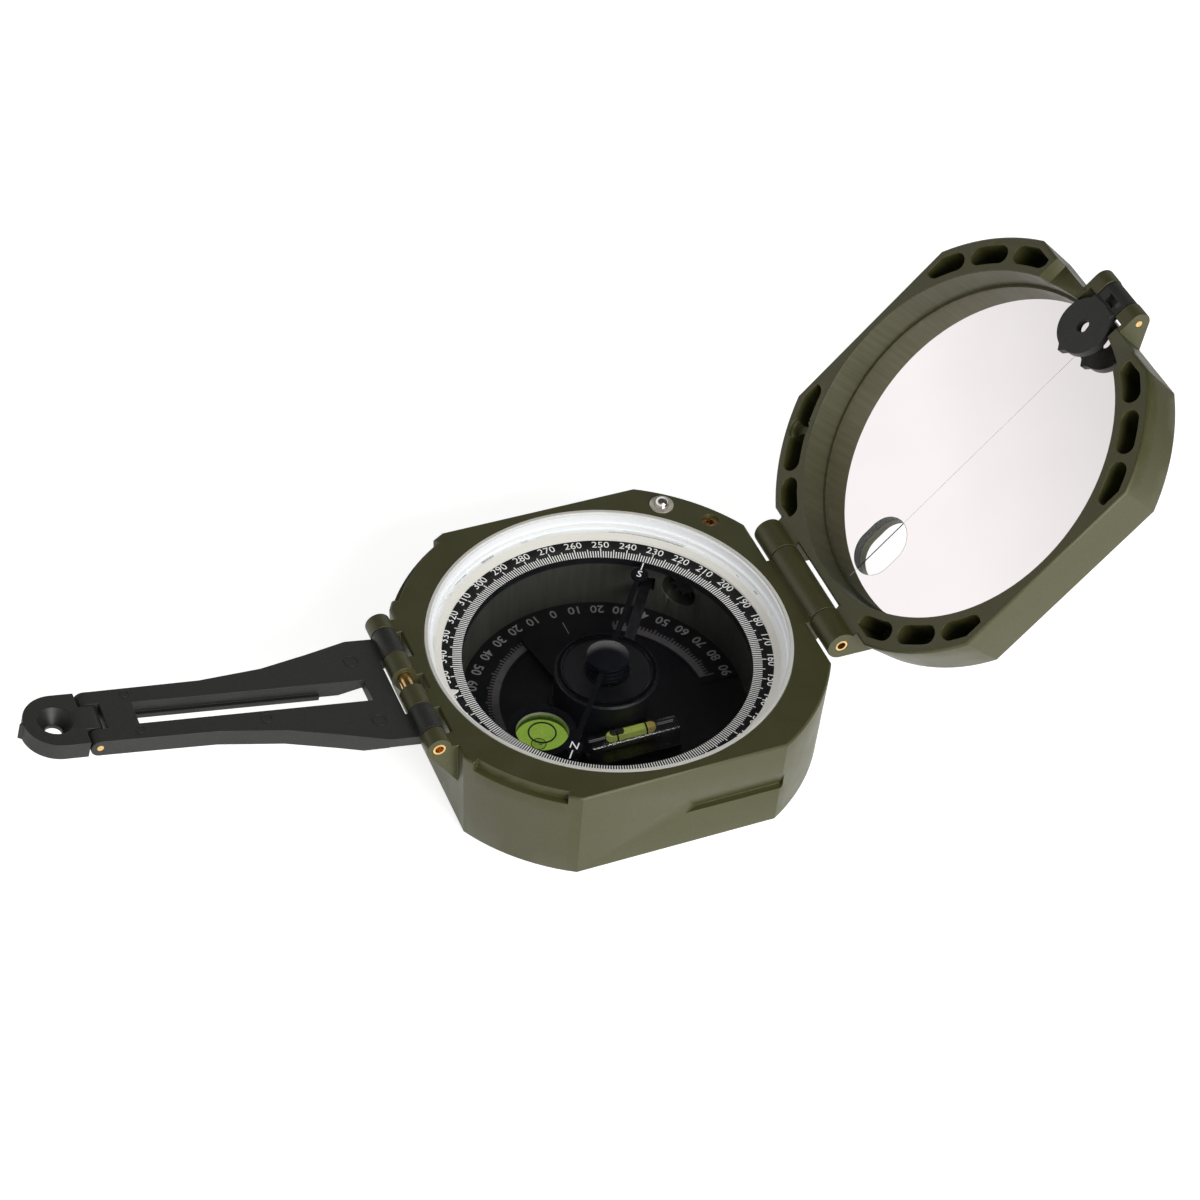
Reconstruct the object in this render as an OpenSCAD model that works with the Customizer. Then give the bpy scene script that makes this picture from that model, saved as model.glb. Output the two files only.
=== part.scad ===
// Pocket transit: a mirror compass with a folding sighting arm, a clinometer and two levels.
// Millimetres. The origin is the centre of the case's bottom face. +X runs from the arm's hinge
// to the lid's hinge, +Z is up. The lid and the arm are drawn open, at their rest angles.

/* [Case] */
// Width of the case across its flat sides
case_w = 73; // [72:0.5:78]
// Diameter of the case over its rounded corners
case_round_d = 83.2; // [81:0.2:88]
// Height of the case up to its rim
case_h = 21; // [20.6:0.2:25]
// How far each side leans in from the rim to the base
side_draft = 0.7; // [0:0.1:1]
// Chamfer round the outer edges of the case and the lid
edge_chamfer = 0.4; // [0.2:0.1:0.8]
// Thickness of the case floor
floor_t = 2.6; // [2.4:0.1:3.2]
// Radius of the open well over the clinometer
well_r = 27.65; // [27.4:0.05:27.9]
// Radius of the bore that takes the index ring
bezel_bore_r = 34.6; // [34.5:0.1:35]
// Depth of the index ring's seat below the rim
bezel_seat_depth = 5.8; // [5.6:0.1:6.4]
// Depth of the degree ring's ledge below the rim
ledge_depth = 7.6; // [7.4:0.1:8]
// Radius of the recess in the base that the clinometer's lever swings in
lever_recess_r = 15; // [14.5:0.5:18]
// Depth of that recess
lever_recess_depth = 1.6; // [1.5:0.1:1.8]
// Height of the ledge of the clamp slots in the front and back sides
clamp_ledge_z = 9.1; // [6:0.1:12]
// Depth of the clamp slots at their ledge
clamp_depth = 1.3; // [0.6:0.1:1.6]
// Height of the clamp slots over their ledge
clamp_h = 4.3; // [3:0.1:6]
// Length of the clamp slots
clamp_len = 20.4; // [12:0.2:20.6]
// Length of the tapered end of each clamp slot
clamp_taper = 3.5; // [1:0.5:6]
// Depth of the thumb recesses below the rim
thumb_depth = 2; // [1:0.2:3]
// Radius that the thumb recesses are cut back to
thumb_r = 40.25; // [39.6:0.05:41]
// Angles at which each thumb recess starts and ends
thumb_span = [122.4, 148.1];

/* [Index ring and glass] */
// Inner radius of the index ring's lip over the degree ring
lip_r = 31.25; // [31:0.05:31.6]
// Thickness of the lip at its edge
lip_t = 0.5; // [0.4:0.1:0.8]
// Gap between the degree ring and the lip
lip_gap = 0.96; // [0.6:0.02:1.2]
// Radial gap between the index ring and its bore
bezel_gap = 0.1; // [0.05:0.05:0.2]
// Radial thickness of the index ring's upright wall
bezel_wall = 1; // [0.8:0.1:1.1]
// Radius to which the index tooth points inward
index_tip_r = 29.9; // [29:0.1:30.5]
// Thickness of the dial glass
glass_t = 1.2; // [1:0.1:1.5]
// Height of the glass's underside above the degree ring's face
glass_rise = 2.06; // [1.9:0.02:2.2]
// Side of the gasket and of the retaining ring
gasket_t = 0.4; // [0.3:0.1:0.6]

/* [Degree ring and its pinion] */
// Thickness of the degree ring
ring_t = 1.49; // [1.3:0.01:1.5]
// Inner radius of the degree ring
ring_in_r = 27.35; // [27.1:0.05:27.6]
// Outer radius of the degree ring
ring_out_r = 33.6; // [33.4:0.05:33.7]
// Gap between the degree ring's rim and its bore
ring_gap = 0.4; // [0.2:0.05:0.6]
// Gap between the degree ring and its ledge
ring_lift = 0.05; // [0.02:0.01:0.1]
// Number of crown teeth under the degree ring
crown_teeth = 120; // [120:10:120]
// Number of teeth on the pinion
pinion_teeth = 10; // [10:1:12]
// Radius of the crown teeth's middle
crown_r = 30.4; // [30.2:0.05:30.6]
// Length of the teeth, along the ring's radius
tooth_len = 1.6; // [1.2:0.1:1.8]
// Height of a tooth's tip over the pitch line
addendum = 0.42; // [0.36:0.01:0.44]
// Width of a tooth on the pitch line
tooth_w = 0.66; // [0.56:0.01:0.68]
// Gap from tooth tips to the opposite root
tip_gap = 0.08; // [0.05:0.01:0.12]
// Angle of the pinion round the dial, from +X
pinion_angle = 37; // [36:0.5:38]
// Radius of the pinion's shaft
pinion_shaft_r = 1.5; // [1.2:0.05:1.6]
// Radius of the bush round the pinion's shaft
pinion_bush_r = 3.47; // [3.2:0.01:3.5]
// Radius of the pinion's slotted head
pinion_head_r = 2.4; // [2:0.05:2.5]
// Radius of the set screw that holds the bush
set_screw_r = 1.65; // [1.2:0.05:1.8]

/* [Needle] */
// Length of the needle from tip to tip
needle_len = 54.2; // [52:0.1:54.4]
// Width of the needle
needle_w = 1.04; // [0.8:0.02:1.4]
// Thickness of the needle
needle_t = 0.5; // [0.4:0.05:0.6]
// How far the needle's underside lies below the degree ring's face
needle_sink = 0.34; // [0.2:0.02:0.5]
// Angle of the needle's north end at rest, from +X
needle_rest = 232.9; // [0:0.1:360]
// Radius of the discs near the needle's ends
needle_disc_r = 1.7; // [1.2:0.1:2]
// Distance of those discs from the pivot
needle_disc_at = 23.9; // [20:0.1:24.5]
// Radius of the needle's hub
hub_r = 3.9; // [3.7:0.1:4.1]
// Height of the hub below the bar
hub_h = 2.6; // [2.4:0.1:2.8]
// Radius of the magnet ring under the hub
magnet_r = 3.4; // [3:0.1:3.6]
// Height of the magnet ring
magnet_h = 0.85; // [0.8:0.05:1]
// Radius of the cap
cap_r = 4; // [3.9:0.1:4.2]
// Height of the cap
cap_h = 1.5; // [1.3:0.1:1.6]

/* [Needle lock] */
// Angle of the lock button round the rim, from +X
button_angle = 52.3; // [51.5:0.1:53]
// Distance of the lock button from the centre
button_at = 38; // [37.8:0.1:38.2]
// Radius of the button's stem
button_r = 1.4; // [1.2:0.05:1.45]
// How far the button stands over the rim
button_rise = 1.7; // [1.4:0.1:1.8]
// Radius of the button bush's flange
bush_flange_r = 2.35; // [2.2:0.05:2.5]
// Radius of the button bush in the rim
button_bush_r = 1.9; // [1.7:0.05:2]
// Direction of the lifter lever, from +X
lifter_angle = 55.3; // [54.5:0.1:56]
// Width of the lifter lever
lifter_w = 2; // [1.6:0.1:2.2]
// Thickness of the lifter lever
lifter_t = 0.8; // [0.6:0.1:1]
// Distance from the button to the lever's pin
lifter_tail = 8; // [7.8:0.1:8.2]
// Room for the lever's end to rise to the magnet ring
lifter_room = 1.35; // [1.3:0.05:1.5]
// Radius of the lever's pin
lifter_pin_r = 0.6; // [0.5:0.05:0.7]
// Turns of the lock spring
spring_turns = 4; // [3:1:4]
// Radius of the spring's wire
spring_wire_r = 0.2; // [0.15:0.05:0.2]

/* [Clinometer and levels] */
// Thickness of the printed clinometer scale
scale_t = 0.24; // [0.2:0.02:0.3]
// Outer radius of the clinometer scale
scale_out_r = 27.4; // [27:0.05:27.4]
// Inner radius of the clinometer scale
scale_in_r = 19.5; // [18:0.5:20]
// Outer radius of the vernier plate
vernier_r = 22; // [21:0.1:23]
// Thickness of the vernier plate
plate_t = 1; // [0.8:0.1:1.2]
// Radius of the clinometer's shaft
shaft_r = 2.5; // [2.2:0.1:2.8]
// Outer radius of the bearing bush in the floor
bearing_r = 4.4; // [4:0.1:5]
// Outer radius of the damping drum
drum_r = 9.9; // [9.6:0.1:10]
// Wall of the damping drum
drum_wall = 1; // [0.8:0.1:1.2]
// Radius of the pivot post
post_r = 1.1; // [0.9:0.05:1.2]
// Length of the clinometer's back lever from the shaft
lever_len = 13; // [9:0.5:13.2]
// Thickness of the back lever
lever_t = 0.8; // [0.7:0.05:0.9]
// Length of the tube level's block
tube_len = 17.5; // [15:0.5:18]
// Width of the tube level's block
tube_w = 5; // [4.4:0.1:5.2]
// Height of the tube level's block
tube_h = 4.6; // [4:0.1:4.8]
// Distance from the centre to the tube level's middle
tube_at = 13.1; // [13:0.1:13.4]
// Radius of the vial
vial_r = 1.55; // [1.3:0.05:1.6]
// Length of the vial
vial_len = 10.4; // [9:0.2:13]
// Outer radius of the round level's cup
cup_r = 6.4; // [6:0.1:6.6]
// Height of the round level's cup
cup_h = 5.9; // [5:0.1:6.2]
// Wall of the round level's cup
cup_wall = 1.2; // [0.8:0.1:1.6]
// Place of the round level
cup_at = [-16.5, -9];

/* [Lid] */
// Height of the lid
lid_h = 10.9; // [10.8:0.1:12]
// Gap between the closed lid and the case's rim
lid_gap = 0.1; // [0.05:0.05:0.2]
// Angle by which the lid stands open at rest
lid_rest = 133; // [90:1:180]
// Thickness of the lid's back
lid_back_t = 1.9; // [1.6:0.1:2]
// Radius of the mirror
mirror_r = 34.2; // [34:0.1:34.3]
// Thickness of the mirror
mirror_t = 1.7; // [1.6:0.1:1.8]
// Width of the ring that holds the mirror in its bore
mirror_ring_w = 0.6; // [0.5:0.1:1.2]
// Length and width of the sighting window
window_len = 12.6; // [10:0.2:14]
window_w = 9.9; // [8:0.1:11]
// Distance of the window's middle from the centre
window_at = 25.1; // [24:0.1:26]
// Depth of the pockets in the lid's rim
pocket_depth = 8; // [4:0.5:8.5]
// Width of those pockets
pocket_w = 3.7; // [3:0.1:3.8]
// Radius of the pockets' middle line
pocket_at = 38; // [37.9:0.1:38.1]
// Depth of the notch in the lid's rim that clears the arm
notch_depth = 2.5; // [2.4:0.1:2.8]
// Distance of the lid's hinge axis outside the flat side
lid_axis_out = 3.6; // [3.4:0.1:4]
// Radius of the lid's hinge knuckles
lid_knuckle_r = 2.9; // [2.4:0.1:3]
// Half width of the case's knuckle between those of the lid
lid_knuckle_in = 9; // [6:0.1:9.4]
// Half width over the lid's knuckles
lid_knuckle_out = 16.8; // [14:0.1:17.5]
// Side gap between knuckles
knuckle_gap = 0.2; // [0.1:0.05:0.3]
// Radius of the two hinge pins
pin_r = 1.2; // [1:0.05:1.3]
// Running clearance of the pins
pin_clear = 0.05; // [0.02:0.01:0.08]

/* [Lid peep] */
// Distance of the peep's pin outside the flat side
peep_pin_out = 3.2; // [3.1:0.1:3.4]
// Height of the peep's pin over the closed lid's rim plane
peep_pin_z = 5; // [5:0.1:5.2]
// Radius of the peep's pin
peep_pin_r = 0.65; // [0.5:0.05:0.7]
// Distance from the peep's pin to the middle of its disc
peep_reach = 7.7; // [7.5:0.1:8]
// Radius of the peep's disc
peep_r = 5.6; // [5:0.1:5.6]
// Thickness of the peep
peep_t = 1.8; // [1.4:0.1:1.9]
// Radius of the peep's hole
peep_hole_r = 1.3; // [0.8:0.1:1.6]
// Gap between the peep's disc and the sides of the slot that it folds through
peep_slot_gap = 0.15; // [0.1:0.05:0.3]
// Half width of the peep's hinge block, between the ears
peep_block_half = 3.3; // [3:0.1:3.4]
// Width of each ear beside the hinge block
ear_w = 3.4; // [3:0.1:3.6]
// Radius of the ears round the pin
ear_r = 2.25; // [2:0.05:2.3]

/* [Sighting arm] */
// Distance of the arm's hinge axis outside the flat side
arm_axis_out = 3.4; // [3.3:0.1:3.6]
// Angle by which the arm is raised at rest
arm_rest = 11.5; // [0:0.5:168]
// Radius of the arm's hinge knuckles
arm_knuckle_r = 2.4; // [2.2:0.1:2.4]
// Thickness of the arm
arm_t = 3.4; // [2.8:0.1:3.4]
// Thickness of the arm beside its hinge
arm_root_t = 2; // [1.8:0.1:2]
// Gap between the hinge axis and the arm's top face
arm_top_gap = 0.2; // [0.1:0.05:0.3]
// Half width of the arm at its hinge
arm_root_half = 13.1; // [11:0.1:13.1]
// Half width of the arm at its head
arm_head_half = 6.3; // [5.5:0.1:6.5]
// Half width of the long slot
arm_slot_half = 2.65; // [2:0.05:3]
// Where the long slot starts and ends, from the hinge axis
arm_slot_span = [7.65, 51.6];
// Width of the ledge along the foot of the slot
arm_ledge_w = 0.75; // [0.4:0.05:1]
// Distance from the hinge axis to the peep's pin
arm_peep_at = 59.4; // [58:0.1:60]
// Radius of the peep's pin
arm_peep_pin_r = 0.6; // [0.5:0.05:0.7]
// Half width of the peep's tongue
tongue_half = 2.8; // [2.4:0.1:3.2]
// Distance from the peep's pin to the middle of its round end
arm_peep_len = 6; // [5:0.1:6.2]
// Radius of the hole in the arm's peep
arm_peep_hole_r = 1.5; // [1:0.1:2]

/* [Hidden] */
$fn = 96;

olive = [0.33, 0.33, 0.24];
black = [0.14, 0.14, 0.13];
brass = [0.72, 0.56, 0.27];
steel = [0.75, 0.75, 0.74];
lime = [0.72, 0.86, 0.18];
clear = [0.85, 0.9, 0.88, 0.35];

// A cut goes this far past the face it opens
over = 1;
// Thin gap between flat faces that are assembled against each other
seat_gap = 0.03;
// Axial gap between two pieces that turn on each other
end_gap = 0.05;

case_half = case_w / 2;
case_round_r = case_round_d / 2;
base_half = case_half - side_draft;
base_round_r = case_round_r - side_draft;
lid_draft = side_draft * lid_h / case_h * 1.6;

bezel_seat_z = case_h - bezel_seat_depth;
ledge_z = case_h - ledge_depth;
ring_under_z = ledge_z + ring_lift;
ring_face_z = ring_under_z + ring_t;
ring_bore_r = ring_out_r + ring_gap;
bezel_r = bezel_bore_r - bezel_gap;
bezel_top_z = case_h - gasket_t;
lip_z = ring_face_z + lip_gap;
glass_z = ring_face_z + glass_rise;
glass_r = bezel_r - bezel_wall - 0.15;

// Crown gear under the degree ring and the pinion that drives it
tooth_depth = 2 * addendum + tip_gap;
pitch_z = ring_under_z - addendum - tip_gap;
crown_tip_z = pitch_z - addendum;
tooth_slope = 2 * tan(20);
pinion_pitch_r = crown_r * pinion_teeth / crown_teeth;
pinion_tip_r = pinion_pitch_r + addendum;
pinion_root_r = pinion_pitch_r - addendum - tip_gap;
pinion_z = pitch_z - pinion_pitch_r;
crown_in_r = crown_r - tooth_len / 2;
channel_gap = 0.35;
channel_in_r = crown_in_r - channel_gap;
channel_out_r = crown_in_r + tooth_len + channel_gap;
channel_z = crown_tip_z - 0.2;
pinion_pocket_r = pinion_tip_r + 0.75;
pinion_pocket_end = channel_out_r;
bush_nose_r = pinion_bush_r - 1.07;
bush_step_at = ring_bore_r + 0.2;
bush_end_at = case_round_r - side_draft * (1 - pinion_z / case_h) - 0.5;
bush_gap = 0.03;
head_t = 1.5;
head_sink = 0.3;
head_floor_at = bush_end_at - head_t - head_sink;
set_screw_z = pinion_z + pinion_bush_r + bush_gap;
set_screw_sink = 0.5;

// Needle and what stands under it, from the needle down
needle_z = ring_face_z - needle_sink;
hub_z = needle_z - hub_h;
magnet_z = hub_z - magnet_h;
hub_bore_r = post_r + 0.8;
jewel_r = 0.95;
jewel_h = needle_t + 0.55;
jewel_cup_h = 0.8;
post_tip_z = needle_z + jewel_cup_h - end_gap;
post_tip_h = 1.6;
drum_top_z = hub_z - 0.3;
drum_roof_t = 0.5;
drum_mouth_r = magnet_r + 1;
drum_window = [-60, 145];
lifter_top_z = magnet_z - lifter_room;
lifter_z = lifter_top_z - lifter_t;
lifter_pin_z = lifter_z + lifter_t / 2;
lifter_eye_r = lifter_pin_r + 0.55;
lifter_slot_half = lifter_w / 2 + 0.6;
lifter_slot_z = lifter_pin_z - lifter_eye_r - 0.35;
lifter_slot_h = 2 * lifter_eye_r + 1;
lifter_pin_half = lifter_slot_half + 2.1;
lifter_ring_in_r = post_r + 1.3;
lifter_ring_r = magnet_r + 0.1;
lifter_tail_end = 1.4;
button_x = button_at * cos(button_angle);
button_y = button_at * sin(button_angle);
// The dial's centre seen from the button, in the lever's own directions
centre_along = -button_at * cos(lifter_angle - button_angle);
centre_across = button_at * sin(lifter_angle - button_angle);
button_foot_r = button_bush_r - 0.2;
button_foot_t = 1;
button_foot_depth = 7;
lifter_slot_run = lifter_tail + 4;
button_foot_z = case_h - button_foot_depth;
button_bush_z = button_foot_z + button_foot_t + end_gap;
bush_flange_t = 0.3;
spring_r = button_foot_r - spring_wire_r - 0.15;
spring_low_z = lifter_top_z + seat_gap;
spring_high_z = button_foot_z - seat_gap;
spring_steps = 12;

// Clinometer, from the base up
washer_t = 0.15;
lever_z = lever_recess_depth - end_gap - washer_t - end_gap - lever_t;
screw_head_t = 0.45;
bearing_flange_r = bearing_r + 1.6;
bearing_flange_t = 0.4;
plate_z = floor_t + bearing_flange_t + end_gap;
plate_top_z = plate_z + plate_t;
boss_r = shaft_r + 1;
boss_t = 1.15;
drive_side = 3;
vial_z = plate_top_z + tube_h - tube_w / 2 + 0.1;
vial_wall = 0.3;
tube_shift = 0.15;
fluid_gap = 0.03;
cup_floor_t = 0.9;
lens_t = 0.8;
lens_sink = 0.35;
cup_in_r = cup_r - cup_wall;
bubble_r = 1.1;

// Hinge axes
arm_axis_x = -(case_half + arm_axis_out);
lid_axis_x = case_half + lid_axis_out;
arm_lug_in = [2, 6.9];
arm_lug_out = [13.5, 17.05];
arm_knuckle = [7, 13.3];
arm_foot_z = case_h / 2 + 0.2;
lid_foot_z = case_h / 2 + 1.5;
hinge_root = 1;
arm_pin_half = arm_lug_out[1] - 0.05;
lid_pin_half = lid_knuckle_out - 0.1;
pin_hollow_r = pin_r * 0.68;
pin_press = 0.02;

// Lid, in closed coordinates, with heights over the case's rim
mirror_seat_z = lid_h - lid_back_t;
pad_t = 0.25;
mirror_back_z = mirror_seat_z - pad_t;
mirror_z = mirror_back_z - mirror_t;
mirror_ring_t = 0.4;
pocket_spans = [[23.8, 36.4], [38.7, 51.3], [53.6, 66.2]];
pocket_clip = 35;
notch_half = arm_root_half + 0.25;
notch_ramp = 0.85;
slot_top_z = peep_pin_z + 2.4;
peep_pin_x = -(case_half + peep_pin_out);
peep_x = peep_pin_x + peep_reach;
peep_z = peep_pin_z - 2.8;
peep_slot_half = peep_r + peep_slot_gap;
ear_in = peep_block_half + knuckle_gap;
peep_block_r = ear_r - 0.15;
peep_nub = 0.9;
peep_nub_half = 1.3;
peep_pocket = [1.6, 2.6, 1.1];
ear_top_z = lid_h - 0.4;
lid_web_z = lid_h - 1.9;

// Sighting arm, in its own coordinates: s from the hinge axis, y across, n over the axis plane
arm_top_n = -arm_top_gap;
arm_root_n = arm_top_n - arm_root_t;
arm_bottom_n = arm_top_n - arm_t;
arm_plan = [[7.9, arm_root_half], [16.4, 10.6], [25.9, 8.1], [38, 6.6], [58, arm_head_half]];
arm_gap = 0.5;
arm_start = arm_knuckle_r + arm_gap;
arm_thick_span = [7.6, 12];
arm_peep_n = (arm_top_n + arm_bottom_n) / 2;
arm_end_r = arm_t / 2;
tongue_gap = 0.3;
arm_ledge_t = 1;
arm_ledge_start = 16;
peep_back_gap = 0.15;

// The point where a line from p touches a circle, on the side that turn says
function touch(c, r, p, turn) =
    let (d = norm(p - c), a = atan2(p[1] - c[1], p[0] - c[0]) + turn * acos(r / d))
    [c[0] + r * cos(a), c[1] + r * sin(a)];

// A wedge from the centre between two angles, for cutting a stretch out of a ring
function wedge(a0, a1, r) =
    [[0, 0], for (i = [0 : 4]) let (a = a0 + (a1 - a0) * i / 4) [r * cos(a), r * sin(a)]];

// The side outline of a drafted block, chamfered at both ends
function block_side(z0, z1, h0, h1, c) =
    [[h0 - c, z0], [h0, z0 + c], [h1, z1 - c], [h1 - c, z1]];

// Puts children, drawn in x and z, across the object from y0 to y1
module across(y0, y1) {
    translate([0, y1, 0])
        rotate([90, 0, 0])
            linear_extrude(y1 - y0) children();
}

// Puts children, drawn in y and z, along x from x0 to x1
module along(x0, x1) {
    translate([x0, 0, 0])
        rotate([90, 0, 90])
            linear_extrude(x1 - x0) children();
}

module both_sides() {
    children();
    mirror([0, 1, 0]) children();
}

module tube(r_out, r_in, z0, z1) {
    translate([0, 0, z0])
        difference() {
            cylinder(h = z1 - z0, r = r_out);
            translate([0, 0, -over]) cylinder(h = z1 - z0 + 2 * over, r = r_in);
        }
}

// A bar of the given radius along y
module cross_bar(x, z, r, half) {
    translate([x, 0, z])
        rotate([90, 0, 0])
            cylinder(h = 2 * half, r = r, center = true);
}

// Turns children so that their z runs outward along a radius of the dial
module on_radius(angle, z) {
    rotate([0, 0, angle])
        translate([0, 0, z])
            rotate([0, 90, 0])
                children();
}

module drafted_block(z0, z1, half0, half1, round0, round1) {
    side = block_side(z0, z1, half0, half1, edge_chamfer);
    corner = block_side(z0, z1, round0, round1, edge_chamfer);
    far = 2 * case_round_r;
    mirrored = [for (i = [3 : -1 : 0]) [-side[i][0], side[i][1]]];
    intersection() {
        rotate_extrude() polygon(concat([[0, z0]], corner, [[0, z1]]));
        across(-far, far) polygon(concat(side, mirrored));
        along(-far, far) polygon(concat(side, mirrored));
    }
}

// Outline of a hinge lug: a round knuckle and a web to the wall that ends at foot
module lug(c, r, foot, root, turn) {
    translate(c) circle(r);
    polygon([c, touch(c, r, foot, turn), foot, root]);
}

// The lid, drawn closed over the rim plane, swings open to its rest angle
module at_lid() {
    translate([lid_axis_x, 0, case_h])
        rotate([0, lid_rest, 0])
            translate([-lid_axis_x, 0, 0])
                children();
}

// The arm, drawn flat along its own s, is raised to its rest angle
module at_arm() {
    translate([arm_axis_x, 0, case_h])
        rotate([0, arm_rest, 0])
            mirror([1, 0, 0])
                children();
}

// The needle lock's own directions: x outward along the lever, from the button
module at_lock() {
    translate([button_x, button_y, 0])
        rotate([0, 0, lifter_angle])
            children();
}

module needle_way() {
    rotate([0, 0, needle_rest]) children();
}

// Case

module arm_lug() {
    lug([arm_axis_x, case_h], arm_knuckle_r, [-base_half, arm_foot_z], [-case_half + hinge_root, case_h], -1);
}

module lid_bracket() {
    lug([lid_axis_x, case_h], lid_knuckle_r, [base_half, lid_foot_z], [case_half - hinge_root, case_h], 1);
}

// A wedge-shaped slot that a tripod or jacob staff clamp grips
module clamp_slot() {
    face_y = case_half - side_draft * (1 - clamp_ledge_z / case_h);
    back_y = face_y - clamp_depth;
    out_y = case_half + 2 * over;
    rise = clamp_h / (clamp_depth + side_draft * clamp_h / case_h);
    intersection() {
        along(0, clamp_len)
            polygon([[back_y, clamp_ledge_z], [out_y, clamp_ledge_z],
                [out_y, clamp_ledge_z + rise * (out_y - back_y)]]);
        linear_extrude(case_h)
            polygon([[0, case_half], [clamp_taper, back_y], [clamp_len + over, back_y],
                [clamp_len + over, out_y], [0, out_y]]);
    }
}

module thumb_recess() {
    translate([0, 0, case_h - thumb_depth])
        linear_extrude(thumb_depth + over)
            difference() {
                polygon(wedge(thumb_span[0], thumb_span[1], 2 * case_round_r));
                circle(thumb_r);
            }
}

module case_body() {
    color(olive)
        difference() {
            union() {
                drafted_block(0, case_h, base_half, case_half, base_round_r, case_round_r);
                both_sides() across(arm_lug_in[0], arm_lug_in[1]) arm_lug();
                both_sides() across(arm_lug_out[0], arm_lug_out[1]) arm_lug();
                across(-lid_knuckle_in, lid_knuckle_in) lid_bracket();
            }
            translate([0, 0, bezel_seat_z]) cylinder(h = case_h, r = bezel_bore_r);
            translate([0, 0, ledge_z]) cylinder(h = case_h, r = ring_bore_r);
            translate([0, 0, floor_t]) cylinder(h = case_h, r = well_r);
            tube(channel_out_r, channel_in_r, channel_z, case_h);
            translate([0, 0, -over]) cylinder(h = lever_recess_depth + over, r = lever_recess_r);
            cylinder(h = case_h, r = bearing_r + pin_press);
            both_sides() clamp_slot();
            both_sides() thumb_recess();
            pinion_way();
            lock_way();
            cross_bar(arm_axis_x, case_h, pin_r + pin_press, case_half);
            cross_bar(lid_axis_x, case_h, pin_r + pin_press, case_half);
        }
}

// Pocket of the pinion, its stepped radial bore and the set screw's hole from the rim
module pinion_way() {
    on_radius(pinion_angle, pinion_z) {
        translate([0, 0, well_r - over])
            cylinder(h = pinion_pocket_end - well_r + over, r = pinion_pocket_r);
        translate([0, 0, well_r]) cylinder(h = case_round_r - well_r, r = bush_nose_r + bush_gap);
        translate([0, 0, bush_step_at]) cylinder(h = case_round_r, r = pinion_bush_r + bush_gap);
    }
    rotate([0, 0, pinion_angle])
        translate([button_at + 0.3, 0, pinion_z])
            cylinder(h = case_h, r = set_screw_r + bush_gap);
}

// Bore of the button bush, the spring's chamber and the slot of the lifter lever
module lock_way() {
    chamber_r = button_foot_r + 0.3;
    at_lock() {
        translate([0, 0, button_bush_z]) cylinder(h = case_h, r = button_bush_r + bush_gap);
        translate([0, 0, lifter_slot_z]) cylinder(h = button_bush_z - lifter_slot_z, r = chamber_r);
        translate([-lifter_slot_run, -lifter_slot_half, lifter_slot_z])
            cube([lifter_slot_run, 2 * lifter_slot_half, lifter_slot_h]);
        cross_bar(-lifter_tail, lifter_pin_z, lifter_pin_r + bush_gap, lifter_pin_half + end_gap);
        translate([-lifter_tail - lifter_pin_r - bush_gap, -lifter_pin_half - end_gap, lifter_pin_z])
            cube([2 * (lifter_pin_r + bush_gap), 2 * (lifter_pin_half + end_gap), case_h]);
    }
}

module index_ring() {
    glass_seat_r = bezel_r - bezel_wall;
    slope_r = lip_r + 1.15;
    color("white") {
        rotate_extrude()
            polygon([[lip_r, lip_z], [lip_r, lip_z + lip_t], [slope_r, glass_z], [glass_seat_r, glass_z],
                [glass_seat_r, bezel_top_z], [bezel_r, bezel_top_z], [bezel_r, bezel_seat_z],
                [ring_out_r, bezel_seat_z]]);
        translate([0, 0, lip_z])
            linear_extrude(lip_t)
                polygon([[-index_tip_r, 0], [-lip_r - 0.2, 0.8], [-lip_r - 0.2, -0.8]]);
    }
}

module retaining_ring() {
    color("silver") tube(bezel_r, bezel_r - 0.6, bezel_top_z + seat_gap, case_h);
}

module dial_glass() {
    color(clear) translate([0, 0, glass_z]) cylinder(h = glass_t, r = glass_r);
}

module glass_gasket() {
    color([0.8, 0.8, 0.78])
        tube(glass_r + 0.1, glass_r - 0.4, glass_z + glass_t + seat_gap, glass_z + glass_t + gasket_t);
}

module clinometer_scale() {
    color([0.7, 0.7, 0.7])
        translate([0, 0, floor_t])
            linear_extrude(scale_t)
                intersection() {
                    difference() {
                        circle(scale_out_r);
                        circle(scale_in_r);
                    }
                    translate([-scale_out_r, -1.5]) square([2 * scale_out_r, scale_out_r + 1.5]);
                }
}

module clinometer_bearing() {
    color(brass) {
        tube(bearing_r, shaft_r + pin_clear, lever_recess_depth, floor_t);
        tube(bearing_flange_r, shaft_r + pin_clear, floor_t, floor_t + bearing_flange_t);
    }
}

module button_bush() {
    color("silver")
        at_lock() {
            tube(button_bush_r, button_r + pin_clear, button_bush_z, case_h);
            tube(bush_flange_r, button_r + pin_clear, case_h, case_h + bush_flange_t);
        }
}

module pinion_bush() {
    color(brass)
        on_radius(pinion_angle, pinion_z)
            difference() {
                union() {
                    translate([0, 0, channel_out_r])
                        cylinder(h = bush_end_at - channel_out_r, r = bush_nose_r);
                    translate([0, 0, bush_step_at + bush_gap])
                        cylinder(h = bush_end_at - bush_step_at - bush_gap, r = pinion_bush_r);
                }
                translate([0, 0, well_r]) cylinder(h = case_round_r, r = pinion_shaft_r + pin_clear);
                translate([0, 0, head_floor_at - end_gap])
                    cylinder(h = case_round_r, r = pinion_head_r + 2 * pin_clear);
            }
}

module set_screw() {
    socket_r = 0.8;
    color(brass)
        rotate([0, 0, pinion_angle])
            translate([button_at + 0.3, 0, 0])
                difference() {
                    translate([0, 0, set_screw_z])
                        cylinder(h = case_h - set_screw_sink - set_screw_z, r = set_screw_r);
                    translate([0, 0, case_h - set_screw_sink - 2]) cylinder(h = 3, r = socket_r, $fn = 6);
                }
}

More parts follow.
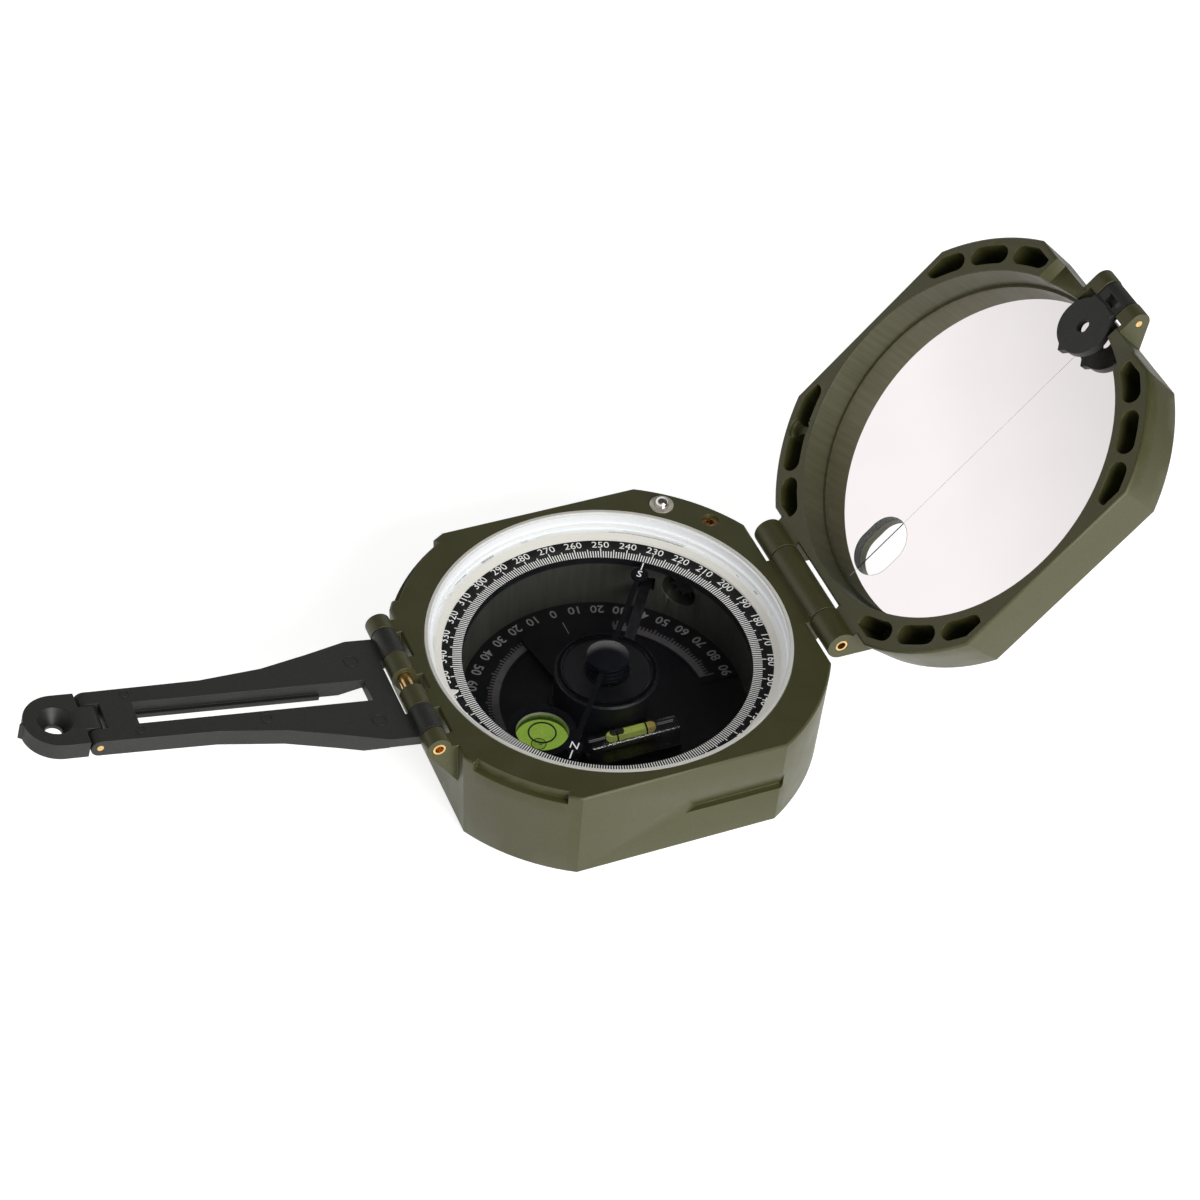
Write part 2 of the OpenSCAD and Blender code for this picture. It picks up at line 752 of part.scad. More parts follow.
module hollow_pin(x, half, hollow_depth) {
    difference() {
        cross_bar(x, case_h, pin_r, half);
        both_sides()
            translate([x, half + over, case_h])
                rotate([90, 0, 0])
                    cylinder(h = hollow_depth + over, r = pin_hollow_r);
    }
}

module arm_hinge_pin() {
    color(brass) hollow_pin(arm_axis_x, arm_pin_half, 2);
}

module lid_hinge_pin() {
    color(brass) hollow_pin(lid_axis_x, lid_pin_half, 6);
}

module lifter_pin() {
    color("silver") at_lock() cross_bar(-lifter_tail, lifter_pin_z, lifter_pin_r, lifter_pin_half);
}

function spring_point(step, side) =
    let (turn = 360 * step / spring_steps, lean = 360 * side / 6,
        low = spring_low_z + spring_wire_r, high = spring_high_z - spring_wire_r,
        out = spring_r + spring_wire_r * cos(lean),
        z = low + (high - low) * step / (spring_turns * spring_steps) + spring_wire_r * sin(lean))
    [out * cos(turn), out * sin(turn), z];

// A six-sided wire wound up round the button's axis
module lock_spring() {
    last = spring_turns * spring_steps;
    points = [for (step = [0 : last]) for (side = [0 : 5]) spring_point(step, side)];
    walls = [for (step = [0 : last - 1]) for (side = [0 : 5])
        let (a = 6 * step + side, b = 6 * step + (side + 1) % 6)
        each [[a, a + 6, b + 6], [a, b + 6, b]]];
    start = [for (side = [1 : 4]) [0, side, side + 1]];
    end = [for (side = [1 : 4]) [6 * last, 6 * last + side + 1, 6 * last + side]];
    color("silver") at_lock() polyhedron(points, concat(walls, start, end));
}

// Degree ring and pinion

// One crown tooth, standing down from the ring and running along its radius
module crown_tooth() {
    root = tooth_w + tooth_slope * (addendum + tip_gap);
    tip = tooth_w - tooth_slope * addendum;
    along(crown_in_r, crown_in_r + tooth_len)
        polygon([[root / 2, ring_under_z], [root / 2, ring_under_z + 0.1], [-root / 2, ring_under_z + 0.1],
            [-root / 2, ring_under_z], [-tip / 2, crown_tip_z], [tip / 2, crown_tip_z]]);
}

module degree_ring() {
    step = 360 / crown_teeth;
    color(black) {
        tube(ring_out_r, ring_in_r, ring_under_z, ring_face_z);
        for (i = [0 : crown_teeth - 1])
            rotate([0, 0, pinion_angle + (i + 0.5) * step]) crown_tooth();
    }
}

module pinion_tooth() {
    tip = tooth_w - tooth_slope * addendum;
    foot = tooth_w + 0.2;
    polygon([[0, -foot / 2], [pinion_root_r, -foot / 2], [pinion_pitch_r, -tooth_w / 2],
        [pinion_tip_r, -tip / 2], [pinion_tip_r, tip / 2], [pinion_pitch_r, tooth_w / 2],
        [pinion_root_r, foot / 2], [0, foot / 2]]);
}

module circle_pinion() {
    color(brass)
        on_radius(pinion_angle, pinion_z) {
            translate([0, 0, crown_in_r])
                linear_extrude(tooth_len)
                    union() {
                        circle(pinion_root_r);
                        for (i = [0 : pinion_teeth - 1])
                            rotate(180 + i * 360 / pinion_teeth) pinion_tooth();
                    }
            translate([0, 0, crown_in_r])
                cylinder(h = head_floor_at - crown_in_r, r = pinion_shaft_r);
        }
}

module pinion_head() {
    slot_w = 0.7;
    slot_depth = 0.8;
    color(brass)
        on_radius(pinion_angle, pinion_z)
            translate([0, 0, head_floor_at])
                difference() {
                    cylinder(h = head_t, r = pinion_head_r);
                    translate([-slot_w / 2, -pinion_head_r - over, head_t - slot_depth])
                        cube([slot_w, 2 * (pinion_head_r + over), slot_depth + over]);
                }
}

// Needle lock

module lock_button() {
    top_z = case_h + button_rise;
    color("silver")
        at_lock() {
            translate([0, 0, button_foot_z]) cylinder(h = button_foot_t, r = button_foot_r);
            translate([0, 0, button_foot_z]) cylinder(h = top_z - button_r - button_foot_z, r = button_r);
            translate([0, 0, top_z - button_r]) sphere(button_r);
        }
}

module lifter_lever() {
    color([0.45, 0.45, 0.44])
        at_lock()
            difference() {
                union() {
                    translate([centre_along + lifter_ring_in_r, -lifter_w / 2, lifter_z])
                        cube([lifter_tail_end - centre_along - lifter_ring_in_r, lifter_w, lifter_t]);
                    translate([centre_along, centre_across, lifter_z])
                        cylinder(h = lifter_t, r = lifter_ring_r);
                    cross_bar(-lifter_tail, lifter_pin_z, lifter_eye_r, lifter_w / 2);
                }
                translate([centre_along, centre_across, 0]) cylinder(h = case_h, r = lifter_ring_in_r);
                cross_bar(-lifter_tail, lifter_pin_z, lifter_pin_r + pin_clear, lifter_w);
            }
}

// Clinometer

module vernier_plate() {
    tail_half = 5.5;
    fan_half = 9.3;
    color([0.2, 0.2, 0.2])
        translate([0, 0, plate_z])
            linear_extrude(plate_t)
                difference() {
                    union() {
                        circle(drum_r + 0.4);
                        intersection() {
                            circle(vernier_r);
                            polygon([[tail_half, 0], [fan_half, 20], [fan_half + 0.5, 24],
                                [-fan_half - 0.5, 24], [-fan_half, 20], [-tail_half, 0]]);
                        }
                        translate([tube_shift - tube_len / 2 - 0.3, -tube_at - tube_w / 2 - 0.3])
                            square([tube_len + 0.6, tube_at]);
                        translate(cup_at) circle(cup_r + 0.3);
                        polygon([[0, 4], cup_at + [-1, 5], cup_at + [2, -5], [0, -8]]);
                    }
                    circle(shaft_r + seat_gap);
                }
}

module clinometer_shaft() {
    color("silver")
        difference() {
            union() {
                translate([0, 0, lever_recess_depth]) cylinder(h = plate_top_z - lever_recess_depth, r = shaft_r);
                translate([0, 0, plate_top_z + seat_gap]) cylinder(h = boss_t, r = boss_r);
                translate([0, 0, plate_top_z - seat_gap]) cylinder(h = boss_t, r = shaft_r);
                translate([-drive_side / 2, -drive_side / 2, lever_z + seat_gap])
                    cube([drive_side, drive_side, lever_recess_depth]);
            }
            cylinder(h = floor_t, r = post_r / 2 + seat_gap);
        }
}

// A shallow copper cup in which the magnet's swings die away, open on one side for the lever
module damping_drum() {
    bevel = 0.5;
    low = plate_top_z + seat_gap;
    roof = drum_top_z - drum_roof_t;
    color([0.16, 0.16, 0.15])
        difference() {
            rotate_extrude()
                polygon([[drum_r - drum_wall, low], [drum_r, low], [drum_r, drum_top_z - bevel],
                    [drum_r - bevel, drum_top_z], [drum_mouth_r, drum_top_z], [drum_mouth_r, roof],
                    [drum_r - drum_wall, roof]]);
            translate([0, 0, low - over])
                linear_extrude(roof - low + over)
                    polygon(wedge(drum_window[0], drum_window[1], 2 * drum_r));
            tube(drum_r - 1.4, drum_r - 1.6, drum_top_z - 0.15, drum_top_z + over);
        }
}

module pivot_post() {
    low = plate_top_z + boss_t + 2 * seat_gap;
    color("silver")
        rotate_extrude()
            polygon([[0, low], [post_r, low], [post_r, post_tip_z - post_tip_h],
                [0.12, post_tip_z - 0.1], [0, post_tip_z]]);
}

module clinometer_lever() {
    hub = boss_r + 0.7;
    grip_r = 2;
    color("silver")
        translate([0, 0, lever_z])
            difference() {
                union() {
                    cylinder(h = lever_t, r = hub);
                    linear_extrude(lever_t)
                        polygon([[-hub * 0.9, -1.5], [hub * 0.9, -1.5], [grip_r, -lever_len + grip_r],
                            [-grip_r, -lever_len + grip_r]]);
                    translate([0, -lever_len + grip_r, -0.4]) cylinder(h = lever_t + 0.4, r = grip_r);
                }
                translate([-drive_side / 2 - pin_press, -drive_side / 2 - pin_press, -over])
                    cube([drive_side + 2 * pin_press, drive_side + 2 * pin_press, lever_t + 2 * over]);
            }
}

module lever_screw() {
    shank_r = post_r / 2;
    head_r = drive_side;
    color("silver")
        difference() {
            union() {
                translate([0, 0, lever_z - screw_head_t]) cylinder(h = screw_head_t - seat_gap, r = head_r);
                translate([0, 0, lever_z - screw_head_t]) cylinder(h = floor_t - lever_z, r = shank_r);
            }
            translate([-head_r - over, -0.3, lever_z - screw_head_t - over])
                cube([2 * (head_r + over), 0.6, over + 0.2]);
        }
}

module wave_washer() {
    color("silver")
        tube(boss_r + 0.5, shaft_r + 0.2, lever_z + lever_t + end_gap, lever_recess_depth - end_gap);
}

module tube_level_body() {
    low = plate_top_z + seat_gap;
    round_z = plate_top_z + tube_h - tube_w / 2;
    color(clear)
        difference() {
            along(tube_shift - tube_len / 2, tube_shift + tube_len / 2)
                union() {
                    translate([-tube_at - tube_w / 2, low]) square([tube_w, round_z - low]);
                    intersection() {
                        translate([-tube_at, round_z]) circle(tube_w / 2);
                        translate([-tube_at - tube_w / 2, round_z - over]) square([tube_w, tube_w]);
                    }
                }
            tube_level_bar(vial_r + seat_gap, vial_len + 2 * seat_gap);
        }
}

// A bar along the tube level's axis
module tube_level_bar(r, length) {
    translate([tube_shift - length / 2, -tube_at, vial_z])
        rotate([0, 90, 0])
            cylinder(h = length, r = r);
}

module tube_bubble_shape(r) {
    at = tube_shift - vial_len / 2 + vial_wall + 1.9;
    translate([at, -tube_at, vial_z + vial_r - vial_wall - 0.75]) sphere(r);
}

module tube_level_vial() {
    color(clear)
        difference() {
            tube_level_bar(vial_r, vial_len);
            tube_level_bar(vial_r - vial_wall, vial_len - 2 * vial_wall);
        }
}

module tube_level_fluid() {
    color(lime)
        difference() {
            tube_level_bar(vial_r - vial_wall - fluid_gap, vial_len - 2 * vial_wall - 2 * fluid_gap);
            tube_bubble_shape(0.6 + fluid_gap);
        }
}

module tube_level_bubble() {
    color("white") tube_bubble_shape(0.6);
}

module round_level_cup() {
    color(black)
        translate([cup_at[0], cup_at[1], 0])
            difference() {
                translate([0, 0, plate_top_z + seat_gap]) cylinder(h = cup_h - seat_gap, r = cup_r);
                translate([0, 0, plate_top_z + cup_floor_t]) cylinder(h = cup_h, r = cup_in_r);
            }
}

module round_level_lens() {
    top_z = plate_top_z + cup_h - lens_sink;
    color(clear)
        translate([cup_at[0], cup_at[1], top_z - lens_t])
            cylinder(h = lens_t, r = cup_in_r - fluid_gap);
}

module round_bubble_shape(r) {
    fluid_top = plate_top_z + cup_h - lens_sink - lens_t - fluid_gap;
    translate([cup_at[0] - 1.2, cup_at[1] - 1.6, fluid_top - bubble_r - 2 * fluid_gap]) sphere(r);
}

module round_level_fluid() {
    low = plate_top_z + cup_floor_t + fluid_gap;
    fluid_top = plate_top_z + cup_h - lens_sink - lens_t - fluid_gap;
    color(lime)
        difference() {
            translate([cup_at[0], cup_at[1], low])
                cylinder(h = fluid_top - low, r = cup_in_r - fluid_gap);
            round_bubble_shape(bubble_r + fluid_gap);
        }
}

module round_level_bubble() {
    color("white") round_bubble_shape(bubble_r);
}

// Needle

module needle_bar() {
    half = needle_len / 2;
    point = 1.2;
    color(black)
        needle_way()
            translate([0, 0, needle_z])
                linear_extrude(needle_t)
                    difference() {
                        union() {
                            polygon([[-half, 0], [-half + point, -needle_w / 2], [half - point, -needle_w / 2],
                                [half, 0], [half - point, needle_w / 2], [-half + point, needle_w / 2]]);
                            circle(hub_bore_r + 0.7);
                            translate([needle_disc_at, 0]) circle(needle_disc_r);
                            translate([-needle_disc_at, 0]) circle(needle_disc_r);
                        }
                        circle(jewel_r + seat_gap);
                    }
}

module needle_hub() {
    groove = 0.2;
    z = [for (k = [0 : 4]) hub_z + hub_h * k / 5];
    color(black)
        rotate_extrude()
            polygon([[hub_bore_r, hub_z], [hub_r, hub_z], [hub_r, z[1]], [hub_r - groove, z[1]],
                [hub_r - groove, z[2]], [hub_r, z[2]], [hub_r, z[3]], [hub_r - groove, z[3]],
                [hub_r - groove, z[4]], [hub_r, z[4]], [hub_r, needle_z - seat_gap],
                [hub_bore_r, needle_z - seat_gap]]);
}

module needle_magnet() {
    color([0.4, 0.4, 0.42]) tube(magnet_r, hub_bore_r, magnet_z, hub_z - seat_gap);
}

module needle_cap() {
    dome_h = 0.9;
    dome_r = (cap_r * cap_r + dome_h * dome_h) / (2 * dome_h);
    low = needle_z + needle_t + seat_gap;
    color([0.08, 0.08, 0.08])
        difference() {
            intersection() {
                translate([0, 0, low]) cylinder(h = cap_h, r = cap_r);
                translate([0, 0, low + cap_h - dome_r]) sphere(dome_r);
            }
            translate([0, 0, low - over]) cylinder(h = over + jewel_h - needle_t + 2 * seat_gap, r = jewel_r + seat_gap);
        }
}

module needle_jewel() {
    color([0.6, 0.1, 0.15])
        translate([0, 0, needle_z])
            difference() {
                cylinder(h = jewel_h, r = jewel_r);
                translate([0, 0, -0.01]) cylinder(h = jewel_cup_h + 0.01, r1 = 0.62, r2 = 0);
            }
}

// Lid

module lid_ear() {
    lug([lid_axis_x, 0], lid_knuckle_r, [case_half - lid_draft, lid_web_z], [case_half - hinge_root, lid_gap], -1);
}

module tab_ear() {
    lug([peep_pin_x, peep_pin_z], ear_r, [-case_half + lid_draft, ear_top_z],
        [-case_half + hinge_root, peep_pin_z - ear_r], 1);
    translate([peep_pin_x, peep_pin_z - ear_r]) square([peep_pin_out + hinge_root, ear_r]);
}

// A slot with round ends that follows an arc of the rim
module rim_pocket(span) {
    trim = asin(pocket_w / 2 / pocket_at);
    translate([0, 0, -over])
        linear_extrude(pocket_depth + over)
            intersection() {
                union() {
                    intersection() {
                        difference() {
                            circle(pocket_at + pocket_w / 2);
                            circle(pocket_at - pocket_w / 2);
                        }
                        polygon(wedge(span[0] + trim, span[1] - trim, 2 * pocket_at));
                    }
                    for (a = [span[0] + trim, span[1] - trim])
                        rotate(a) translate([pocket_at, 0]) circle(pocket_w / 2);
                }
                square(2 * pocket_clip, center = true);
            }
}

module window_shape(depth) {
    straight = window_len - window_w;
    linear_extrude(depth)
        union() {
            translate([window_at - straight / 2, 0]) circle(window_w / 2);
            translate([window_at + straight / 2, 0]) circle(window_w / 2);
            translate([window_at, 0]) square([straight, window_w], center = true);
        }
}

module lid() {
    color(olive)
        at_lid()
            difference() {
                union() {
                    drafted_block(lid_gap, lid_h, case_half, case_half - lid_draft,
                        case_round_r, case_round_r - lid_draft);
                    both_sides() across(lid_knuckle_in + knuckle_gap, lid_knuckle_out) lid_ear();
                    both_sides() across(ear_in, ear_in + ear_w) tab_ear();
                }
                translate([0, 0, -over]) cylinder(h = mirror_seat_z + over, r = bezel_bore_r);
                window_shape(lid_h + over);
                for (quarter = [0 : 3])
                    rotate([0, 0, 90 * quarter])
                        for (span = pocket_spans) rim_pocket(span);
                along(-2 * case_half, -case_half / 2)
                    polygon([[-notch_half - notch_ramp, -over], [-notch_half - notch_ramp, 0],
                        [-notch_half, notch_depth], [notch_half, notch_depth],
                        [notch_half + notch_ramp, 0], [notch_half + notch_ramp, -over]]);
                translate([peep_pin_x + ear_r, -peep_slot_half, -over])
                    cube([case_half / 2, 2 * peep_slot_half, slot_top_z + over]);
                translate([button_x, button_y, -over])
                    cylinder(h = button_rise + 0.2 + over, r = button_r + 0.45);
                translate([button_x, button_y, -over])
                    cylinder(h = bush_flange_t + 0.2 + over, r = bush_flange_r + 0.2);
                cross_bar(lid_axis_x, 0, pin_r + pin_clear, case_half);
                cross_bar(peep_pin_x, peep_pin_z, peep_pin_r + pin_press, case_half);
            }
}

module mirror_plate() {
    color([0.8, 0.83, 0.85])
        at_lid() translate([0, 0, mirror_z]) cylinder(h = mirror_t, r = mirror_r);
}

module mirror_ring() {
    color("black")
        at_lid()
            tube(bezel_bore_r - seat_gap, bezel_bore_r - mirror_ring_w,
                mirror_z - seat_gap - mirror_ring_t, mirror_z - seat_gap);
}

module mirror_pad() {
    color([0.2, 0.2, 0.2])
        at_lid()
            difference() {
                translate([0, 0, mirror_back_z + seat_gap])
                    cylinder(h = pad_t - 2 * seat_gap, r = mirror_r - 1);
                translate([0, 0, mirror_back_z]) window_shape(pad_t);
            }
}

module lid_peep_pin() {
    color(brass)
        at_lid() cross_bar(peep_pin_x, peep_pin_z, peep_pin_r, ear_in + ear_w - 0.05);
}

module lid_peep() {
    neck = 2.4;
    color(black)
        at_lid()
            difference() {
                union() {
                    cross_bar(peep_pin_x, peep_pin_z, peep_block_r, peep_block_half);
                    across(-peep_block_half, peep_block_half)
                        polygon([[peep_pin_x, peep_pin_z - peep_block_r],
                            [peep_pin_x + neck - 0.4, peep_pin_z - peep_block_r], [peep_pin_x + neck, peep_z],
                            [peep_x, peep_z], [peep_x, peep_z + peep_t], [peep_pin_x + neck, peep_z + peep_t],
                            [peep_pin_x + peep_block_r * 0.8, peep_pin_z + peep_block_r * 0.6]]);
                    translate([peep_x, 0, peep_z]) cylinder(h = peep_t, r = peep_r);
                    translate([peep_x + peep_r, 0, peep_z])
                        linear_extrude(peep_t)
                            polygon([[-0.4, -peep_nub_half], [peep_nub, 0], [-0.4, peep_nub_half]]);
                }
                translate([peep_x, 0, peep_z - over]) cylinder(h = peep_t + 2 * over, r = peep_hole_r);
                translate([peep_pin_x + 0.1, -peep_pocket[1] / 2, peep_pin_z - peep_block_r - over])
                    cube([peep_pocket[0], peep_pocket[1], peep_pocket[2] + over]);
                cross_bar(peep_pin_x, peep_pin_z, peep_pin_r + pin_clear, case_half);
            }
}

// Sighting arm

module arm_side() {
    polygon([[0, arm_top_n], [arm_peep_at, arm_top_n], [arm_peep_at, arm_bottom_n],
        [arm_thick_span[1], arm_bottom_n], [arm_thick_span[0], arm_root_n], [0, arm_root_n]]);
}

module arm_outline() {
    far = [for (p = arm_plan) [p[0], p[1]]];
    near = [for (i = [len(arm_plan) - 1 : -1 : 0]) [arm_plan[i][0], -arm_plan[i][1]]];
    polygon(concat([[0, arm_root_half]], far, [[arm_peep_at, arm_head_half], [arm_peep_at, -arm_head_half]],
        near, [[0, -arm_root_half]]));
}

module arm() {
    slot_len = arm_slot_span[1] - arm_slot_span[0];
    low_half = arm_slot_half - arm_ledge_w;
    pocket_half = tongue_half + tongue_gap;
    color(black)
        at_arm()
            difference() {
                union() {
                    intersection() {
                        across(-case_half, case_half) arm_side();
                        translate([0, 0, arm_bottom_n - over])
                            linear_extrude(arm_t + 2 * over) arm_outline();
                    }
                    both_sides()
                        across(arm_knuckle[0], arm_knuckle[1]) circle(arm_knuckle_r);
                    cross_bar(arm_peep_at, arm_peep_n, arm_end_r, arm_head_half);
                }
                translate([-arm_knuckle_r - over, -arm_knuckle[0], arm_bottom_n - over])
                    cube([arm_knuckle_r + over + arm_start, 2 * arm_knuckle[0], arm_t + arm_knuckle_r + 3 * over]);
                translate([arm_slot_span[0], -arm_slot_half, arm_bottom_n + arm_ledge_t])
                    cube([slot_len, 2 * arm_slot_half, arm_t]);
                translate([arm_slot_span[0], -arm_slot_half, arm_bottom_n - over])
                    cube([arm_ledge_start - arm_slot_span[0], 2 * arm_slot_half, arm_t]);
                translate([arm_ledge_start - over, -low_half, arm_bottom_n - over])
                    cube([arm_slot_span[1] - arm_ledge_start + over, 2 * low_half, arm_t]);
                translate([arm_peep_at - arm_end_r - tongue_gap, -pocket_half, arm_bottom_n - over])
                    cube([2 * arm_end_r + over, 2 * pocket_half, arm_t + 2 * over]);
                cross_bar(0, 0, pin_r + pin_clear, case_half);
                cross_bar(arm_peep_at, arm_peep_n, arm_peep_pin_r + pin_press, case_half);
            }
}

module arm_peep_pin() {
    color(brass)
        at_arm() cross_bar(arm_peep_at, arm_peep_n, arm_peep_pin_r, arm_head_half - 0.1);
}

module arm_peep() {
    back = arm_peep_at + arm_end_r + peep_back_gap;
    end = arm_peep_at + arm_peep_len;
    tip_nub = 0.7;
    color(black)
        at_arm()
            difference() {
                union() {
                    cross_bar(arm_peep_at, arm_peep_n, arm_end_r, tongue_half);
                    translate([arm_peep_at, -tongue_half, arm_bottom_n])
                        cube([arm_peep_len, 2 * tongue_half, arm_t]);
                    translate([back, -arm_head_half, arm_bottom_n])
                        cube([end - back, 2 * arm_head_half, arm_t]);
                    intersection() {
                        translate([end, 0, arm_bottom_n]) cylinder(h = arm_t, r = arm_head_half);
                        translate([back, -arm_head_half, arm_bottom_n])
                            cube([arm_peep_len + arm_head_half, 2 * arm_head_half, arm_t]);
                    }
                    translate([end + arm_head_half, 0, arm_bottom_n])
                        linear_extrude(arm_t)
                            polygon([[-0.4, -tip_nub], [tip_nub, 0], [-0.4, tip_nub]]);
                }
                cross_bar(arm_peep_at, arm_peep_n, arm_peep_pin_r + pin_clear, case_half);
                translate([end + 0.6, 0, arm_bottom_n - over])
                    cylinder(h = arm_t + 2 * over, r = arm_peep_hole_r);
                translate([end + 0.6, 0, arm_bottom_n + 0.8])
                    cylinder(h = arm_t, r1 = arm_peep_hole_r, r2 = 3.9);
            }
}

case_body();  // case
index_ring();
retaining_ring();
dial_glass();
glass_gasket();
clinometer_scale();
clinometer_bearing();
button_bush();
pinion_bush();
set_screw();
arm_hinge_pin();
lid_hinge_pin();
lifter_pin();
lock_spring();
degree_ring();
circle_pinion();
pinion_head();
lock_button();
lifter_lever();
vernier_plate();
clinometer_shaft();
damping_drum();
pivot_post();
clinometer_lever();
lever_screw();
wave_washer();
tube_level_body();
tube_level_vial();
tube_level_fluid();
tube_level_bubble();
round_level_cup();
round_level_lens();
round_level_fluid();
round_level_bubble();
needle_bar();
needle_hub();
needle_magnet();
needle_cap();
needle_jewel();
lid();
mirror_plate();  // mirror
mirror_ring();
mirror_pad();
lid_peep_pin();
lid_peep();
arm();
arm_peep_pin();
arm_peep();
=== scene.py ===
# %% [markdown]
# # Dressing a geologist's mirror compass
# The instrument is an olive case with a dial under glass, a lid that carries a mirror, and a black
# sighting arm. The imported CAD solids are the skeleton: each has its final place and joint. This
# lesson gives them finishes, rounded edges, printed scales and a photographer's table.

# %% Load the frame
import math

import bmesh
import bpy
from mathutils import Matrix, Vector


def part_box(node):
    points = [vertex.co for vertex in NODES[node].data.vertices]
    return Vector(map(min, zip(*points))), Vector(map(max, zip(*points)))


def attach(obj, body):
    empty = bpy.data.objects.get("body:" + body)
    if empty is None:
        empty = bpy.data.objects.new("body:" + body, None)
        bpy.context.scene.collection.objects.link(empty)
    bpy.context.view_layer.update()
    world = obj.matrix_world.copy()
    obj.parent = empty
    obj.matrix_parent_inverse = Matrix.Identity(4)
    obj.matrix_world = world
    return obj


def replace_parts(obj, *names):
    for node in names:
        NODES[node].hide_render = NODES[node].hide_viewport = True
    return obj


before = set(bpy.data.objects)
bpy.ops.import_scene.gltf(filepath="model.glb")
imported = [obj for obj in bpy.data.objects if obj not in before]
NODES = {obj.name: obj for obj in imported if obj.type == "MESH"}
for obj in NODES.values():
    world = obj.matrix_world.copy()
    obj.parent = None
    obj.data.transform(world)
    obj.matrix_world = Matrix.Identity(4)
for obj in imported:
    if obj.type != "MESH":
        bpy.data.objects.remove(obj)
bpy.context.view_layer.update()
MM = 0.001
print("solids in the frame:", len(NODES))

# %% [markdown]
# ## The camera
# The view was solved from the rims, rings and hinges of the real object: a long lens, looking down
# at 44 degrees from the left, and turned by 4.5 degrees about its own axis. A camera's local X, Y
# and Z axes are the columns of its matrix, so the three solved angles go straight into one matrix.

# %% Place the camera
CAMERA_PLACE = Vector((-0.174052, -0.362991, 0.420367))
AZIMUTH, ELEVATION, ROLL = (math.radians(a) for a in (-25.287, 44.125, 4.534))
FOCAL_OVER_WIDTH = 3040 / 1200


def camera_axes(azimuth, elevation, roll):
    """Columns of the camera's matrix: right, up and backwards."""
    back = Vector((math.sin(azimuth) * math.cos(elevation),
                   -math.cos(azimuth) * math.cos(elevation), math.sin(elevation)))
    right = Vector((math.cos(azimuth), math.sin(azimuth), 0))
    up = back.cross(right)
    return (right * math.cos(roll) + up * math.sin(roll),
            up * math.cos(roll) - right * math.sin(roll), back)


lens = bpy.data.cameras.new("long_lens")
lens.sensor_width = 36
lens.lens = 36 * FOCAL_OVER_WIDTH
lens.clip_start, lens.clip_end = 0.02, 20
camera = bpy.data.objects.new("camera", lens)
bpy.context.collection.objects.link(camera)
camera.matrix_world = (Matrix.Translation(CAMERA_PLACE)
                       @ Matrix(camera_axes(AZIMUTH, ELEVATION, ROLL)).transposed().to_4x4())
bpy.context.scene.camera = camera
print("focal length in mm:", round(lens.lens, 1))

# %% [markdown]
# ## A small kit for materials
# Every finish here is one Principled shader with noise behind its colour, its gloss and its relief.
# Writing the node wiring out each time would hide that, so a few helpers carry it. Patterns read
# Object coordinates, which stay with the piece when it swings, and sizes are given in millimetres.

